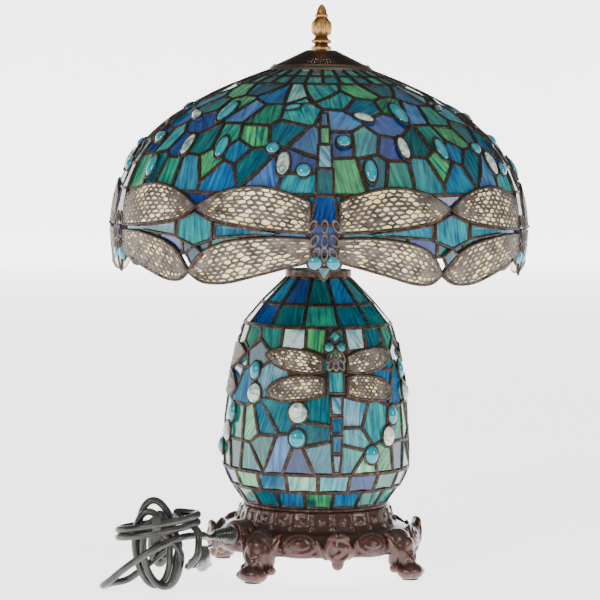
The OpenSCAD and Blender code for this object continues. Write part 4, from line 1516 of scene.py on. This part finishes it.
class LAMP_OT_crown(bpy.types.Operator):
    """Crown: pierced cap, tinned band and turned finial"""
    bl_idname = "lamp.crown"
    bl_label = "Crown"

    def execute(self, context):
        cap = lathe("pierced_cap", CAP_LINE, CAP_STEPS)
        pierce(cap)
        modified(cap, "SOLIDIFY", thickness=0.0014, offset=-1.0)
        bead = lathe("cap_bead", CAP_BEAD_LINE, 96, closed=True)
        hub = lathe("cap_hub", CAP_HUB_LINE, 64, closed=True)
        cap = joined([cap, bead, hub], "pierced_cap")
        done(cap, 40, "cap", "dark_bronze", "shade_cap")
        band = lathe("cap_band", CAP_BAND_LINE, 96, closed=True)
        done(band, 40, "solder", "tinned_ring", "shade_ring")

        turned = lathe("turned_finial", FINIAL_LINE, 64)
        gadroons = []
        for k in range(10):
            at = rolled(36 * k) @ moved(0, -8.4, 543)
            gadroons.append(ball("gadroon", (2.1, 1.9, 6.8), at, 12, 10))
            low = rolled(36 * (k + 0.5)) @ moved(0, -8.9, 529.6)
            gadroons.append(ball("bead", (1.7, 1.5, 1.7), low, 10, 8))
        finial = joined([turned] + gadroons, "turned_finial")
        done(finial, 50, "finial", "antique_brass", "finial")
        return {"FINISHED"}


def pierce(cap):
    """Cuts staggered rows of petal holes through the cap."""
    mesh = cap.data
    pick_up(cap)
    for face in mesh.polygons:
        around = math.degrees(math.atan2(face.center.y, face.center.x)) % 360
        column = int(around / (360 / CAP_STEPS))
        row = int(math.hypot(face.center.x, face.center.y) / MM / 5)
        face.select = row in (4, 5, 6, 7) and (column + 2 * (row % 2)) % 4 in (0, 1)
    edit_selected(cap)
    bpy.ops.mesh.inset(thickness=0.0007, depth=0, use_individual=True)
    bpy.ops.mesh.delete(type="FACE")
    bpy.ops.object.mode_set(mode="OBJECT")


# ---------------------------------------------------------------- pieces that stay as CAD made them

NODE_FINISHES = {
    "pad": ("foot_pads",),
    "steel": ("base_plate", "base_screws", "rod_nut", "centre_rod", "base_bracket"),
    "lead": ("pot_seat", "pot_collar"),
    "brass": ("collar_nut", "stem_tube", "cluster_body", "cluster_arms", "shade_nut"),
    "bakelite": ("base_socket", "socket_left", "socket_right"),
    "bulb": ("base_bulb", "bulb_left", "bulb_right"),
    "cord": ("supply_lead",),
}


class LAMP_OT_fittings(bpy.types.Operator):
    """Inner fittings: rod, lamp holders and bulbs"""
    bl_idname = "lamp.fittings"
    bl_label = "Fittings"

    def execute(self, context):
        for look, nodes in NODE_FINISHES.items():
            for node in nodes:
                materials = bpy.data.objects[node].data.materials
                materials.clear()
                materials.append(finish(look))
        return {"FINISHED"}


class LAMP_PT_panel(bpy.types.Panel):
    """Sidebar panel listing the lamp's operators"""
    bl_label = "Dragonfly Lamp"
    bl_idname = "LAMP_PT_panel"
    bl_space_type = "VIEW_3D"
    bl_region_type = "UI"
    bl_category = "Lamp"

    def draw(self, context):
        for operator in OPERATORS:
            self.layout.operator(operator.bl_idname)
        for key in LampSizes.__annotations__:
            self.layout.prop(context.scene.lamp_sizes, key)
        for key in LampColours.__annotations__:
            self.layout.prop(context.scene.lamp_colours, key)


OPERATORS = (LAMP_OT_stage, LAMP_OT_cord, LAMP_OT_shade_glass, LAMP_OT_shade_flies, LAMP_OT_shade_jewels,
             LAMP_OT_pot, LAMP_OT_base, LAMP_OT_crown, LAMP_OT_fittings)
CLASSES = (LampSizes, LampColours, *OPERATORS, LAMP_PT_panel)


def register():
    """Registers the add-on's classes and its scene properties."""
    for cls in CLASSES:
        bpy.utils.register_class(cls)
    bpy.types.Scene.lamp_sizes = PointerProperty(type=LampSizes)
    bpy.types.Scene.lamp_colours = PointerProperty(type=LampColours)


def unregister():
    """Removes the scene properties and the classes."""
    del bpy.types.Scene.lamp_colours
    del bpy.types.Scene.lamp_sizes
    for cls in reversed(CLASSES):
        bpy.utils.unregister_class(cls)


def main():
    """Builds the lamp."""
    register()
    bpy.ops.lamp.stage()
    bpy.ops.lamp.cord()
    bpy.ops.lamp.shade_glass()
    bpy.ops.lamp.shade_flies()
    bpy.ops.lamp.shade_jewels()
    bpy.ops.lamp.pot()
    bpy.ops.lamp.base()
    bpy.ops.lamp.crown()
    bpy.ops.lamp.fittings()
    put_down()


if __name__ == "__main__":
    main()
